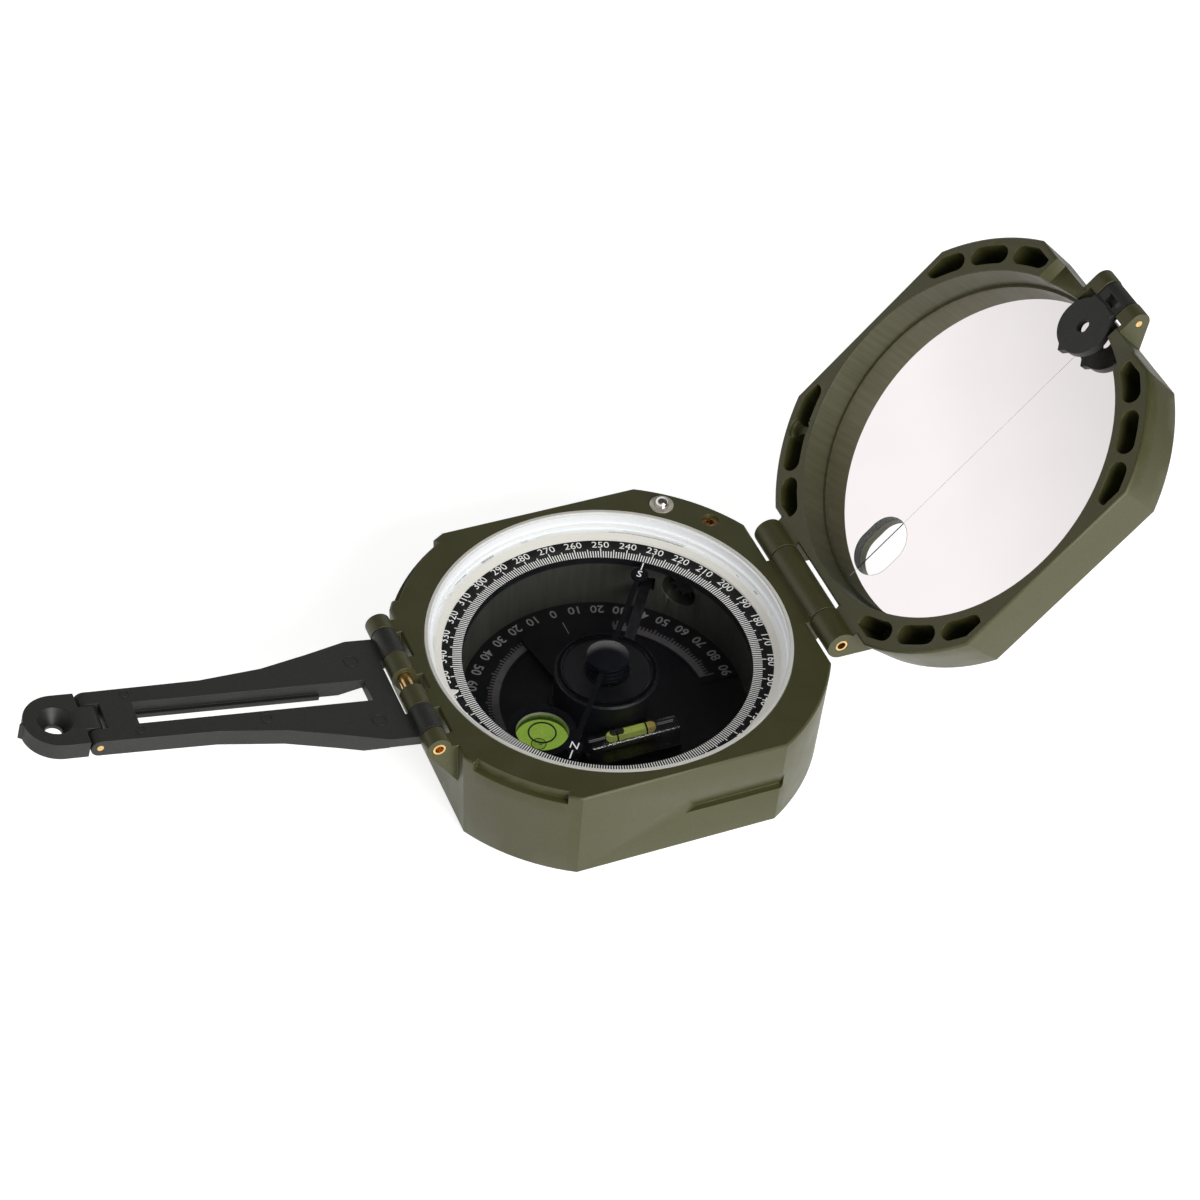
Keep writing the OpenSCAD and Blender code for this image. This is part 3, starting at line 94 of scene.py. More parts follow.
# %% Helpers that wire nodes
class Finish:
    """A material with a Principled shader; its methods add the procedural detail."""

    def __init__(self, name, color, roughness, **sockets):
        self.material = bpy.data.materials.new(name)
        self.material.use_nodes = True
        self.tree = self.material.node_tree
        self.shader = self.tree.nodes["Principled BSDF"]
        self.color, self.roughness = (*color, 1), roughness
        self.set("Base Color", self.color)
        self.set("Roughness", roughness)
        for key, value in sockets.items():
            self.set(key.replace("_", " "), value)

    def set(self, socket, value):
        self.shader.inputs[socket].default_value = value

    def node(self, kind, **inputs):
        made = self.tree.nodes.new("ShaderNode" + kind)
        for key, value in inputs.items():
            self.plug(value, made.inputs[key.replace("_", " ")])
        return made

    def plug(self, value, socket):
        if isinstance(value, bpy.types.NodeSocket):
            self.tree.links.new(value, socket)
        else:
            socket.default_value = value

    def place(self, matrix=None, stretch=(1, 1, 1)):
        """Object coordinates in millimetres, first turned into the piece's own axes by matrix."""
        spot = self.node("TexCoord").outputs["Object"]
        if matrix is not None:
            inner = self.node("Mapping", Vector=spot, Location=matrix.to_translation(),
                              Rotation=matrix.to_euler())
            spot = inner.outputs[0]
        return self.node("Mapping", Vector=spot, Scale=[s / MM for s in stretch]).outputs[0]

    def axis(self, spot, name):
        """One of X, Y and Z of a place, in millimetres."""
        return self.node("SeparateXYZ", Vector=spot).outputs[name]

    def radius(self, spot):
        """Distance from the Z axis, in millimetres."""
        x, y = self.axis(spot, "X"), self.axis(spot, "Y")
        squares = self.math("MULTIPLY", x, x), self.math("MULTIPLY", y, y)
        return self.math("SQRT", self.math("ADD", *squares))

    def noise(self, spot, size, detail=2.0):
        """Smooth noise whose blobs are about size millimetres across."""
        return self.node("TexNoise", Vector=spot, Scale=1 / size, Detail=detail).outputs["Fac"]

    def spread(self, value, low, high, out_low=0.0, out_high=1.0):
        """Maps low..high to out_low..out_high, clamped."""
        return self.node("MapRange", Value=value, From_Min=low, From_Max=high,
                         To_Min=out_low, To_Max=out_high).outputs[0]

    def math(self, kind, a, b=0.0):
        made = self.node("Math")
        made.operation = kind
        self.plug(a, made.inputs[0])
        self.plug(b, made.inputs[1])
        return made.outputs[0]

    def blend(self, share, first, second):
        """A colour between two colours or colour sockets."""
        made = self.node("Mix")
        made.data_type = "RGBA"
        for index, value in ((0, share), (6, first), (7, second)):
            value = (*value, 1) if isinstance(value, tuple) and len(value) == 3 else value
            self.plug(value, made.inputs[index])
        return made.outputs[2]

    def relief(self, height, depth, normal=None):
        """Bump whose full height is depth millimetres."""
        made = self.node("Bump", Height=height, Distance=depth * MM)
        if normal is not None:
            self.plug(normal, made.inputs["Normal"])
        self.plug(made.outputs[0], self.shader.inputs["Normal"])
        return made.outputs[0]

    def tone(self):
        """The socket that feeds the base colour so far."""
        return self.shader.inputs["Base Color"].links[0].from_socket

    def cover(self, share, tone):
        """Lays another tone over the base colour, fully where share is 1."""
        self.plug(self.blend(share, self.tone(), tone), self.shader.inputs["Base Color"])


def wear(finish, spot, lighter, darker, patch=6.0, speck=0.35, gloss=0.08):
    """Uneven tone: broad patches, fine specks and a gloss that varies with them."""
    patches = finish.spread(finish.noise(spot, patch, 3), 0.35, 0.65)
    specks = finish.spread(finish.noise(spot, speck, 2), 0.3, 0.7)
    tone = finish.blend(patches, darker, finish.color[:3])
    tone = finish.blend(finish.math("MULTIPLY", specks, 0.5), tone, lighter)
    finish.plug(tone, finish.shader.inputs["Base Color"])
    finish.plug(finish.spread(patches, 0, 1, finish.roughness - gloss, finish.roughness + gloss),
                finish.shader.inputs["Roughness"])


# %% [markdown]
# ## Olive moulded body
# The case and the lid are pressure mouldings with a fine sandy skin, satin rather than matt:
# upright faces pick up the white table, level faces stay dark. A flat olive would look like paper.
# Grain in the relief does the satin, and faint specks in the colour do the filler in the resin.
# The bores are turned, so inside a given radius the relief changes from grain to fine lines along
# the bore. There the colour also changes to another tone streaked along the tool's lines, and that
# tone is painted light: paler for the sheen on the lid's bore, darker and greyer for the shade down
# in the well. The pocket behind the well wall is painted near black as shade. The lid stands open,
# so its pattern is first turned back to the closed lid's axes.

# %% Mix the olive
OLIVE = (0.055, 0.054, 0.016)
FADE = 0.05


def olive_finish(name, bore, low, high, inside, matrix=None):
    """Olive with streaks of another tone, painted light, inside the bore from height low to height
    high.
    """
    made = Finish(name, OLIVE, 0.44, Specular_IOR_Level=0.6, Specular_Tint=(1, 0.98, 0.84, 1))
    spot = made.place(matrix)
    wear(made, spot, (0.079, 0.078, 0.031), (0.049, 0.048, 0.013), gloss=0.04)
    rise = made.axis(spot, "Z")
    depth = made.math("MULTIPLY", made.spread(rise, low, low + FADE),
                      made.spread(rise, high, high + FADE, 1, 0))
    in_bore = made.math("MULTIPLY", made.spread(made.radius(spot), bore, bore + FADE, 1, 0), depth)
    lines = made.noise(made.place(matrix, stretch=(1, 1, 0.04)), 0.8, 3)
    # The streaked tone inside the bore is painted light: sheen on the lid's bore, shade in the
    # well.
    streaks_and_painted_light = made.blend(made.spread(lines, 0.3, 0.7), tuple(c * 0.85 for c in inside),
                         tuple(c * 1.15 for c in inside))
    made.cover(in_bore, streaks_and_painted_light)
    skin = made.relief(made.noise(spot, 0.16, 3), 0.008)
    made.relief(made.math("MULTIPLY", lines, in_bore), 0.03, skin)
    return made


LID_AXIS, LID_OPEN, CASE_RIM = 40.1, 133, 21
FLAT_LID = (Matrix.Translation((LID_AXIS * MM, 0, 0))
            @ Matrix.Rotation(math.radians(-LID_OPEN), 4, "Y")
            @ Matrix.Translation((-LID_AXIS * MM, 0, -CASE_RIM * MM)))
WELL_R, WELL_LOW, WELL_HIGH = 27.9, 2.4, 22
LID_BORE_R, LID_LOW, LID_HIGH = 34.75, -1, 9.4
POCKET_EDGE, WELL_EDGE, POCKET_ROOF = (33.3, 33.4), (27.8, 27.9), (13.1, 13.3)

olive = olive_finish("olive_moulding", WELL_R, WELL_LOW, WELL_HIGH, (0.047, 0.048, 0.041))
# Painted shade: the pocket behind the well wall, under its roof, is darkened to near black.
spot = olive.place()
away = olive.radius(spot)
pocket_shade = olive.math("MULTIPLY", olive.spread(away, *POCKET_EDGE, 1, 0),
                  olive.spread(away, *WELL_EDGE))
pocket_shade = olive.math("MULTIPLY", pocket_shade, olive.spread(olive.axis(spot, "Z"), *POCKET_ROOF, 1, 0))
olive.cover(pocket_shade, (0.012, 0.012, 0.008))
olive_lid = olive_finish("olive_lid", LID_BORE_R, LID_LOW, LID_HIGH, (0.083, 0.081, 0.044),
                         FLAT_LID)
print("made", olive.material.name, olive_lid.material.name)

# %% [markdown]
# ## Black mouldings
# The sighting arm and both peeps are dull black nylon, a little green and never fully black, with a
# skin finer than the case's. The needle's parts and the level's cup are polished and a little blue,
# the dial is duller, the mirror's pad is rubber, and a black with hardly any gloss serves for the
# lines round the vial and, as painted shade, for the drum's groove.

# %% Mix the blacks
nylon = Finish("black_nylon", (0.021, 0.0215, 0.0185), 0.5, Specular_IOR_Level=0.42)
spot = nylon.place()
wear(nylon, spot, (0.040, 0.041, 0.036), (0.016, 0.0165, 0.014), patch=8, speck=0.28)
nylon.relief(nylon.noise(spot, 0.14, 3), 0.008)

gloss_black = Finish("polished_black", (0.006, 0.007, 0.010), 0.12)
spot = gloss_black.place()
wear(gloss_black, spot, (0.010, 0.011, 0.014), (0.005, 0.005, 0.007), patch=3, speck=0.3,
     gloss=0.04)
gloss_black.relief(gloss_black.noise(spot, 0.8, 2), 0.004)

dial_black = Finish("dial_black", (0.0075, 0.0078, 0.0095), 0.42, Specular_IOR_Level=0.35)
spot = dial_black.place()
wear(dial_black, spot, (0.014, 0.0145, 0.017), (0.006, 0.006, 0.0075), patch=4, speck=0.22)
dial_black.relief(dial_black.noise(spot, 0.12, 2), 0.004)

soft_black = Finish("black_rubber", (0.012, 0.012, 0.012), 0.7)
spot = soft_black.place()
wear(soft_black, spot, (0.02, 0.02, 0.02), (0.01, 0.01, 0.01), patch=3)
soft_black.relief(soft_black.noise(spot, 0.3, 2), 0.01)
# Near black with hardly any gloss: real on the vial's lines, painted shade in the drum's groove.
shade_and_line_black = Finish("groove_shade_and_line_black", (0.002, 0.002, 0.0025), 0.8, Specular_IOR_Level=0.08)
wear(shade_and_line_black, shade_and_line_black.place(), (0.004, 0.004, 0.005), (0.001, 0.001, 0.0015), patch=3)
print("made five blacks")

# %% [markdown]
# ## Whites and greys
# The index ring is a glossy white moulding. Its shift from cream on the slope to cooler white at
# the rim is painted light, copying how the light falls on each. Ink on the dial is a flat white,
# and the clinometer's ink is greyed as painted shade, for the dim light deep in the well. Down in
# the bore both whites would render too dull, so the ring and the white ink give off a little light
# of their own.

# %% Mix the whites
CREAM, COOL = (0.80, 0.785, 0.715), (0.83, 0.845, 0.86)
SLOPE_EDGES = (32.2, 33.4)
white = Finish("white_moulding", CREAM, 0.32, Emission_Strength=0.21)
spot = white.place()
wear(white, spot, (0.81, 0.795, 0.725), (0.79, 0.775, 0.705), patch=5, speck=0.5, gloss=0.02)
# Painted light: from the slope outwards the colour and glow shift from cream to cool white.
rim_painted_light = white.spread(white.radius(spot), *SLOPE_EDGES)
white.cover(rim_painted_light, COOL)
white.plug(white.blend(rim_painted_light, CREAM, COOL), white.shader.inputs["Emission Color"])
white.relief(white.noise(spot, 0.3, 2), 0.001)
cream = Finish("cream_spring", (0.80, 0.785, 0.72), 0.3)
spot = cream.place()
wear(cream, spot, (0.86, 0.85, 0.79), (0.74, 0.725, 0.66), patch=4, speck=0.3)
cream.relief(cream.noise(spot, 0.4, 2), 0.002)


def ink_finish(name, color, pale, dark, glow=0.0):
    """Ink with a fine grain, which gives off light of strength glow."""
    made = Finish(name, color, 0.55, Emission_Strength=glow, Emission_Color=(*color, 1))
    spot = made.place()
    wear(made, spot, pale, dark, patch=1.2, speck=0.1, gloss=0.05)
    made.relief(made.noise(spot, 0.1, 2), 0.003)
    return made


white_ink = ink_finish("white_ink", (0.84, 0.84, 0.82), (0.92, 0.92, 0.90), (0.74, 0.74, 0.73),
                       0.35)
# Painted shade: this ink is greyed for the dim light in the well, where the clinometer's marks lie.
grey_ink_painted_shade = ink_finish("grey_ink_painted_shade", (0.36, 0.36, 0.35), (0.44, 0.44, 0.43), (0.27, 0.27, 0.27))
band_ink = ink_finish("band_ink", (0.13, 0.122, 0.125), (0.16, 0.15, 0.155), (0.10, 0.095, 0.098))
faint_ink = ink_finish("faint_ink", (0.72, 0.71, 0.70), (0.78, 0.77, 0.76), (0.64, 0.63, 0.62))
print("made two whites and four inks")

# %% [markdown]
# ## Metals
# Turned brass and steel are never even: the tool leaves fine rings, and handling dulls them in
# patches. Metallic stays at 1 and all of the detail goes into gloss and relief. Only the flange
# round the button is half metallic, which keeps it pale where nothing bright stands over it.

# %% Mix the metals
TOOL_LINES = 0.36


def metal_finish(name, color, roughness, tarnish):
    """A turned metal with patches of tarnish and the fine rings of the tool."""
    made = Finish(name, color, roughness, Metallic=1.0)
    spot = made.place()
    polished = tuple(min(1, c * 1.15) for c in color)
    wear(made, spot, polished, tarnish, patch=1.6, speck=0.2, gloss=0.09)
    made.relief(made.noise(made.place(stretch=(1, 1, 6)), TOOL_LINES, 2), 0.006)
    return made


brass = metal_finish("turned_brass", (0.82, 0.56, 0.25), 0.26, (0.62, 0.38, 0.14))
steel = metal_finish("bright_steel", (0.86, 0.83, 0.78), 0.2, (0.66, 0.63, 0.58))
silver = Finish("silvering", (0.95, 0.915, 0.915), 0.02, Metallic=1.0)
haze = silver.spread(silver.noise(silver.place(), 14, 2), 0.3, 0.7)
silver.plug(silver.blend(haze, (0.94, 0.905, 0.905), (0.96, 0.925, 0.925)),
            silver.shader.inputs["Base Color"])
silver.plug(silver.spread(haze, 0, 1, 0.015, 0.03), silver.shader.inputs["Roughness"])
flange = metal_finish("dished_flange", (0.80, 0.76, 0.68), 0.38, (0.66, 0.62, 0.54))
flange.set("Metallic", 0.5)
# On the circle's pinion this dark blued steel is painted shade, for its dark pocket; on the lifter
# lever it is the real finish.
blued_and_painted_shade = metal_finish("blued_spring_and_painted_shade", (0.13, 0.13, 0.14), 0.42, (0.09, 0.09, 0.1))
print("made brass, steel, silvering, the flange's metal and blued spring")

# %% [markdown]
# ## Clear parts
# A pane that bends light needs many samples and throws a hard shadow on the dial. A thin pane
# hardly bends it, so Alpha does better: most light passes straight on and a faint film of gloss
# stays. Alpha also thins the gloss, so small thick parts get a higher IOR, which gives their
# highlights back.

# %% Mix the clear finishes
def clear_finish(name, color, alpha, ior=1.5, roughness=0.05):
    """A pane that hides the share alpha of what lies behind it."""
    made = Finish(name, color, roughness, Alpha=alpha, IOR=ior)
    spot = made.place()
    wear(made, spot, color, tuple(c * 0.9 for c in color), patch=9, speck=1.0, gloss=0.01)
    made.relief(made.noise(spot, 6, 2), 0.002)
    return made


glass = clear_finish("dial_glass", (0.02, 0.022, 0.028), 0.03)
acrylic = clear_finish("clear_acrylic", (0.012, 0.012, 0.016), 0.22, 2.6, 0.15)
vial_glass = clear_finish("vial_glass", (0.36, 0.40, 0.16), 0.16, 2.6)
lens_glass = clear_finish("level_lens", (0.05, 0.06, 0.04), 0.06, 2.2)
spirit = clear_finish("level_spirit", (0.25, 0.42, 0.05), 0.07)
window_glass = clear_finish("window_glass", (0.8, 0.82, 0.8), 0.05)
bubble_film = clear_finish("bubble_film", (0.2, 0.32, 0.05), 0.1, 1.6)
frosted = clear_finish("frosted_bore", (0.6, 0.6, 0.62), 0.8, 1.6, 0.3)
print("made eight clear finishes")

# %% [markdown]
# ## Dyes of the levels
# The spirit of a level is dyed so that daylight makes it shine, which a plain colour can't do. Here
# the dye gives off some light in its own colour, and one end of the tube turns amber. The wall of
# the cup, the shade under it and the bubbles' dark parts get finishes of their own, because they
# are seen through the dye. The wall's pale tone is partly painted reflection; the shade at its
# foot, the round bubble's dark rim and the tube's dark bubble are painted shade. The needle turns
# on a ruby.

# %% Mix the dyes
LIME, AMBER = (0.25, 0.40, 0.055), (0.26, 0.20, 0.05)


def glowing(name, color, far=None, split=(0.0, 1.0)):
    """A dye that shines in daylight; far is its colour past the given X in millimetres."""
    made = Finish(name, color, 0.3, Emission_Strength=0.85)
    spot = made.place()
    wear(made, spot, tuple(c * 1.25 for c in color), tuple(c * 0.86 for c in color), patch=2.5,
         speck=0.5, gloss=0.04)
    tone = made.tone()
    if far:
        tone = made.blend(made.spread(made.axis(spot, "X"), *split), tone, far)
        made.plug(tone, made.shader.inputs["Base Color"])
    made.plug(tone, made.shader.inputs["Emission Color"])
    made.relief(made.noise(spot, 0.7, 2), 0.004)
    return made


lime = glowing("lime_dye", LIME)
vial_dye = glowing("vial_dye", (0.27, 0.33, 0.06), AMBER, (3.0, 3.6))
# Painted shade: a dark green for the foot of the cup's wall and for the bubble's rim.
cup_shade = Finish("cup_shade", (0.02, 0.06, 0.012), 0.4)
wear(cup_shade, cup_shade.place(), (0.035, 0.09, 0.02), (0.015, 0.045, 0.01), patch=1.5, speck=0.3)
# The cup wall's pale tone is partly painted reflection.
cup_wall = Finish("cup_wall", (0.42, 0.43, 0.35), 0.3)
wear(cup_wall, cup_wall.place(), (0.5, 0.51, 0.42), (0.30, 0.31, 0.24), patch=2.2, speck=0.3)
# Painted shade: the dark of the tube's bubble, which bends the light away.
bubble_painted_shade = Finish("bubble_painted_shade", (0.028, 0.036, 0.022), 0.12)
wear(bubble_painted_shade, bubble_painted_shade.place(), (0.05, 0.06, 0.035), (0.018, 0.024, 0.015), patch=0.8,
     speck=0.2)
ruby = Finish("ruby", (0.35, 0.02, 0.05), 0.1)
wear(ruby, ruby.place(), (0.5, 0.05, 0.08), (0.25, 0.01, 0.03), patch=1, speck=0.2, gloss=0.03)
print("made two dyes, the tones of the cup and bubble, and a ruby")

# %% [markdown]
# ## Dress every solid
# Each solid belongs to one finish. A table of names per finish is easier to check than a call for
# each solid, and the count at the end shows that nothing was left bare.

# %% Hand out the finishes
DRESS = {
    "olive": (olive, ["case"]),
    "olive lid": (olive_lid, ["lid", "mirror_ring"]),
    "nylon": (nylon, ["arm", "arm_peep", "lid_peep"]),
    "gloss black": (gloss_black, ["needle_bar", "needle_cap", "needle_hub", "round_level_cup"]),
    "dial black": (dial_black, ["degree_ring", "vernier_plate", "damping_drum",
                                "clinometer_scale"]),
    "rubber": (soft_black, ["mirror_pad"]),
    "white": (white, ["index_ring", "glass_gasket"]),
    "brass": (brass, ["arm_hinge_pin", "lid_hinge_pin", "lid_peep_pin", "arm_peep_pin", "set_screw",
                      "pinion_bush", "pinion_head", "clinometer_bearing"]),
    "steel": (steel, ["lock_button", "lifter_pin", "lock_spring", "clinometer_shaft", "pivot_post",
                      "clinometer_lever", "lever_screw", "wave_washer", "needle_magnet"]),
    # Dark blued steel: real on the lifter lever, painted shade on the circle's pinion.
    "blued_and_painted_shade": (blued_and_painted_shade, ["lifter_lever", "circle_pinion"]),
    "cream": (cream, ["retaining_ring"]),
    "flange": (flange, ["button_bush"]),
    "glass": (glass, ["dial_glass"]),
    "acrylic": (acrylic, ["tube_level_body"]),
    "vial": (vial_glass, ["tube_level_vial"]),
    "lens": (lens_glass, ["round_level_lens"]),
    "spirit": (spirit, ["tube_level_fluid", "round_level_fluid"]),
    "bubble": (bubble_film, ["tube_level_bubble", "round_level_bubble"]),
    "mirror": (silver, ["mirror"]),
    "ruby": (ruby, ["needle_jewel"]),
}


def dress(piece, finish):
    piece.data.materials.clear()
    piece.data.materials.append(finish.material)


dressed = set()
for finish, names in DRESS.values():
    for name in names:
        dress(NODES[name], finish)
        dressed.add(name)
print("dressed", len(dressed), "solids; left bare:", sorted(set(NODES) - dressed))

# %% [markdown]
# ## Printed marks
# Ink on a dial is a film a few hundredths of a millimetre thick. A painted texture would blur when
# someone looks closely, so each mark is a very thin block instead: the edge stays sharp at any
# size, and the marks turn with the ring that they are printed on.

# %% Helpers for ink
INK = 0.02
TYPE_SIZE = 1.37


def new_piece(name, bm, finish, body):
    """Makes an object from a bmesh in millimetres, in its material, on its body."""
    bmesh.ops.scale(bm, vec=(MM, MM, MM), verts=bm.verts)
    mesh = bpy.data.meshes.new(name)
    bm.to_mesh(mesh)
    bm.free()
    piece = bpy.data.objects.new(name, mesh)
    bpy.context.collection.objects.link(piece)
    dress(piece, finish)
    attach(piece, body)
    print(name, "has", len(mesh.polygons), "faces")
    return piece


def on_dial(radius, angle, height, face_out=True):
    """A frame on a dial: Y points away from the centre, or towards it, and Z up."""
    turn = angle - 90 if face_out else angle + 90
    around = math.radians(angle)
    place = Vector((radius * math.cos(around), radius * math.sin(around), height))
    return Matrix.Translation(place) @ Matrix.Rotation(math.radians(turn), 4, "Z")


def stroke(bm, inner, outer, angle, width, height):
    """A straight mark along a radius."""
    size = Matrix.Diagonal((width, outer - inner, INK, 1))
    place = on_dial((inner + outer) / 2, angle, height + INK / 2)
    bmesh.ops.create_cube(bm, size=1, matrix=place @ size)


def words(bm, text, tall, matrix, weight=0.0):
    """Figures or letters, tall millimetres high and centred on matrix; weight makes them bolder."""
    curve = bpy.data.curves.new("type", "FONT")
    curve.body = text
    curve.size = tall * TYPE_SIZE
    curve.resolution_u = 3
    curve.extrude = INK / 2
    curve.offset = weight
    curve.align_x, curve.align_y = "CENTER", "CENTER"
    holder = bpy.data.objects.new("type", curve)
    bpy.context.collection.objects.link(holder)
    bpy.context.view_layer.update()
    mesh = bpy.data.meshes.new_from_object(holder)
    mesh.transform(matrix @ Matrix.Translation((0, 0, INK / 2)))
    bm.from_mesh(mesh)
    bpy.data.objects.remove(holder)
    bpy.data.curves.remove(curve)
    bpy.data.meshes.remove(mesh)


def spun(section, steps=96, start=0.0, stop=360.0):
    """A bmesh of a ring, or a stretch of one: an outline of (radius, height) spun about Z."""
    bm = bmesh.new()
    verts = [bm.verts.new((r, 0, z)) for r, z in section]
    face = bm.faces.new(verts)
    bmesh.ops.rotate(bm, verts=verts, cent=(0, 0, 0),
                     matrix=Matrix.Rotation(math.radians(start), 3, "Z"))
    full = stop - start >= 360
    bmesh.ops.spin(bm, geom=list(face.edges) if full else [face], cent=(0, 0, 0), axis=(0, 0, 1),
                   angle=math.radians(stop - start), steps=steps, use_merge=full)
    if full:
        bmesh.ops.delete(bm, geom=[face], context="FACES_ONLY")
    bmesh.ops.remove_doubles(bm, verts=bm.verts, dist=1e-4)
    bmesh.ops.recalc_face_normals(bm, faces=bm.faces)
    return bm


def washer(inner, outer, low, high):
    """The outline of a flat ring, for spun."""
    return [(inner, low), (outer, low), (outer, high), (inner, high)]


def absorb(bm, part, matrix=Matrix.Identity(4)):
    """Adds a bmesh to another, moved by matrix."""
    mesh = bpy.data.meshes.new("part")
    part.transform(matrix)
    part.to_mesh(mesh)
    part.free()
    bm.from_mesh(mesh)
    bpy.data.meshes.remove(mesh)


# %% [markdown]
# ## The degree ring's scale
# The ring reads the magnetic bearing, so its figures run anticlockwise. Every degree has a mark,
# every fifth a longer one and every tenth a figure whose top points outwards.

# %% Print the degree ring
RING_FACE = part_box("degree_ring")[1].z / MM
RING_ZERO = 180.49
MARK_FROM, MARK_WIDE = 27.45, 0.19
TEN_TO, FIVE_TO, ONE_TO = 30.0, 29.7, 29.2
FIGURES_AT, FIGURES_TALL = 30.95, 1.72

bm = bmesh.new()
for degree in range(360):
    outer = TEN_TO if degree % 10 == 0 else FIVE_TO if degree % 5 == 0 else ONE_TO
    stroke(bm, MARK_FROM, outer, RING_ZERO + degree, MARK_WIDE, RING_FACE)
for degree in range(0, 360, 10):
    words(bm, str(degree), FIGURES_TALL, on_dial(FIGURES_AT, RING_ZERO + degree, RING_FACE))
new_piece("degree_print", bm, white_ink, "degree_ring")

# %% [markdown]
# ## The clinometer's scale
# Two quarter circles count from level to upright, each way from the middle. The figures face the
# centre, because they are read through the far side of the glass. A grey band carries a mark at
# every second degree.

# %% Print the clinometer scale
SCALE_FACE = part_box("clinometer_scale")[1].z / MM
SCALE_ZERO = 91.0
BAND_IN, BAND_OUT, BAND_HALF = 20.0, 21.4, 90.4
TICK_FROM, TICK_WIDE = 21.35, 0.36
END_TICK_TO, TEN_TICK_TO, TICK_TO = 23.1, 22.6, 22.2
DEEP_FIGURES_AT, DEEP_FIGURES_TALL = 25.55, 2.05

bm = spun(washer(BAND_IN, BAND_OUT, SCALE_FACE, SCALE_FACE + INK),
          60, SCALE_ZERO - BAND_HALF, SCALE_ZERO + BAND_HALF)
for degree in range(-90, 91, 2):
    outer = END_TICK_TO if abs(degree) == 90 else TEN_TICK_TO if degree % 10 == 0 else TICK_TO
    stroke(bm, TICK_FROM, outer, SCALE_ZERO + degree, TICK_WIDE, SCALE_FACE)
new_piece("clinometer_band", bm, band_ink, "case")

bm = bmesh.new()
for degree in range(-90, 91, 10):
    place = on_dial(DEEP_FIGURES_AT, SCALE_ZERO + degree, SCALE_FACE, face_out=False)
    words(bm, str(abs(degree)), DEEP_FIGURES_TALL, place, weight=0.03)
new_piece("clinometer_figures", bm, grey_ink_painted_shade, "case")

PLATE_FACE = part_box("vernier_plate")[1].z / MM
bm = bmesh.new()
stroke(bm, 18.3, 21.6, 90, 0.16, PLATE_FACE)
new_piece("vernier_line", bm, grey_ink_painted_shade, "clinometer")

# %% [markdown]
# ## Marks on the needle
# One end carries an N and the other an S, each with a short white line to its tip. They are printed
# on the flat discs of the needle.

# %% Print the needle
NEEDLE_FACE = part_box("needle_bar")[1].z / MM
NORTH = 232.9
LINE_FROM, LINE_TO, LINE_WIDE = 25.0, 27.1, 0.22
LETTER_AT, LETTER_TALL = 23.8, 1.75

bm = bmesh.new()
for angle in (NORTH, NORTH - 180):
    stroke(bm, LINE_FROM, LINE_TO, angle, LINE_WIDE, NEEDLE_FACE)
words(bm, "N", LETTER_TALL, on_dial(LETTER_AT, NORTH, NEEDLE_FACE, face_out=False))
words(bm, "S", LETTER_TALL, on_dial(LETTER_AT, NORTH - 180, NEEDLE_FACE))
new_piece("needle_print", bm, white_ink, "needle")

# %% [markdown]
# ## Paint in the well
# The floor under the clinometer is black on the real one, while the wall of the well is bare olive.
# The paint is a film on the CAD floor, a ring spun round the clinometer's bearing.

# %% Paint the floor of the well
FLOOR, BEARING_R, PAINT_R = 2.6, 6.05, 27.6
bm = spun(washer(BEARING_R, PAINT_R, FLOOR, FLOOR + INK))
new_piece("floor_paint", bm, dial_black, "case")

# %% [markdown]
# ## The damping drum's groove
# The drum that calms the needle has a deep groove round its roof, and the two lips of the groove
# catch the light as thin lines. The lips are spun from one outline with rounded corners and stand
# on the CAD drum; between them lies a band of dead black, painted shade that stands for the
# groove's depth.

# %% Spin the drum's lips
DRUM_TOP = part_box("damping_drum")[1].z / MM


def drum_ring(inner, outer, high):
    """The outline of a low ring with rounded upper corners."""
    soft = min(high, outer - inner) * 0.4
    return [(inner, DRUM_TOP - 0.02), (outer, DRUM_TOP - 0.02), (outer, DRUM_TOP + high - soft),
            (outer - soft * 0.3, DRUM_TOP + high - soft * 0.3), (outer - soft, DRUM_TOP + high),
            (inner + soft, DRUM_TOP + high), (inner + soft * 0.3, DRUM_TOP + high - soft * 0.3),
            (inner, DRUM_TOP + high - soft)]


bm = spun(drum_ring(8.5, 8.72, 0.17), 128)
absorb(bm, spun(drum_ring(9.4, 9.66, 0.15), 128))
new_piece("drum_lips", bm, gloss_black, "clinometer")
# Painted shade: a flat band of near black on the drum's roof in place of the groove's depth.
new_piece("drum_groove_painted_shade", spun(drum_ring(8.7, 9.42, 0.03), 128), shade_and_line_black, "clinometer")

# %% [markdown]
# ## Two turned frames: lid and arm
# The lid and the arm stand at an angle at rest, but they are easier to think about flat. A matrix
# takes a piece that was made in the closed lid's directions, or along the arm, to where it belongs.

# %% Set up the two frames
LID = (Matrix.Translation((LID_AXIS, 0, CASE_RIM)) @ Matrix.Rotation(math.radians(LID_OPEN), 4, "Y")
       @ Matrix.Translation((-LID_AXIS, 0, 0)))
ARM_AXIS, ARM_UP, ARM_LONG = -39.9, 11.5, 71.7
ARM = (Matrix.Translation((ARM_AXIS, 0, CASE_RIM)) @ Matrix.Rotation(math.radians(ARM_UP), 4, "Y")
       @ Matrix.Rotation(math.pi, 4, "Z"))
print("tip of the arm at", [round(c, 1) for c in ARM @ Vector((ARM_LONG, 0, 0))])

# %% [markdown]
# ## The sighting mirror
# The mirror is a silvered disc with an oval left clear, so that the eye sees the target and the
# needle together. Two rings of edges, a circle and a stretched circle, are bridged to a plate with
# a hole; the clear oval is a pane of its own, and a black line along both is what one aims with.

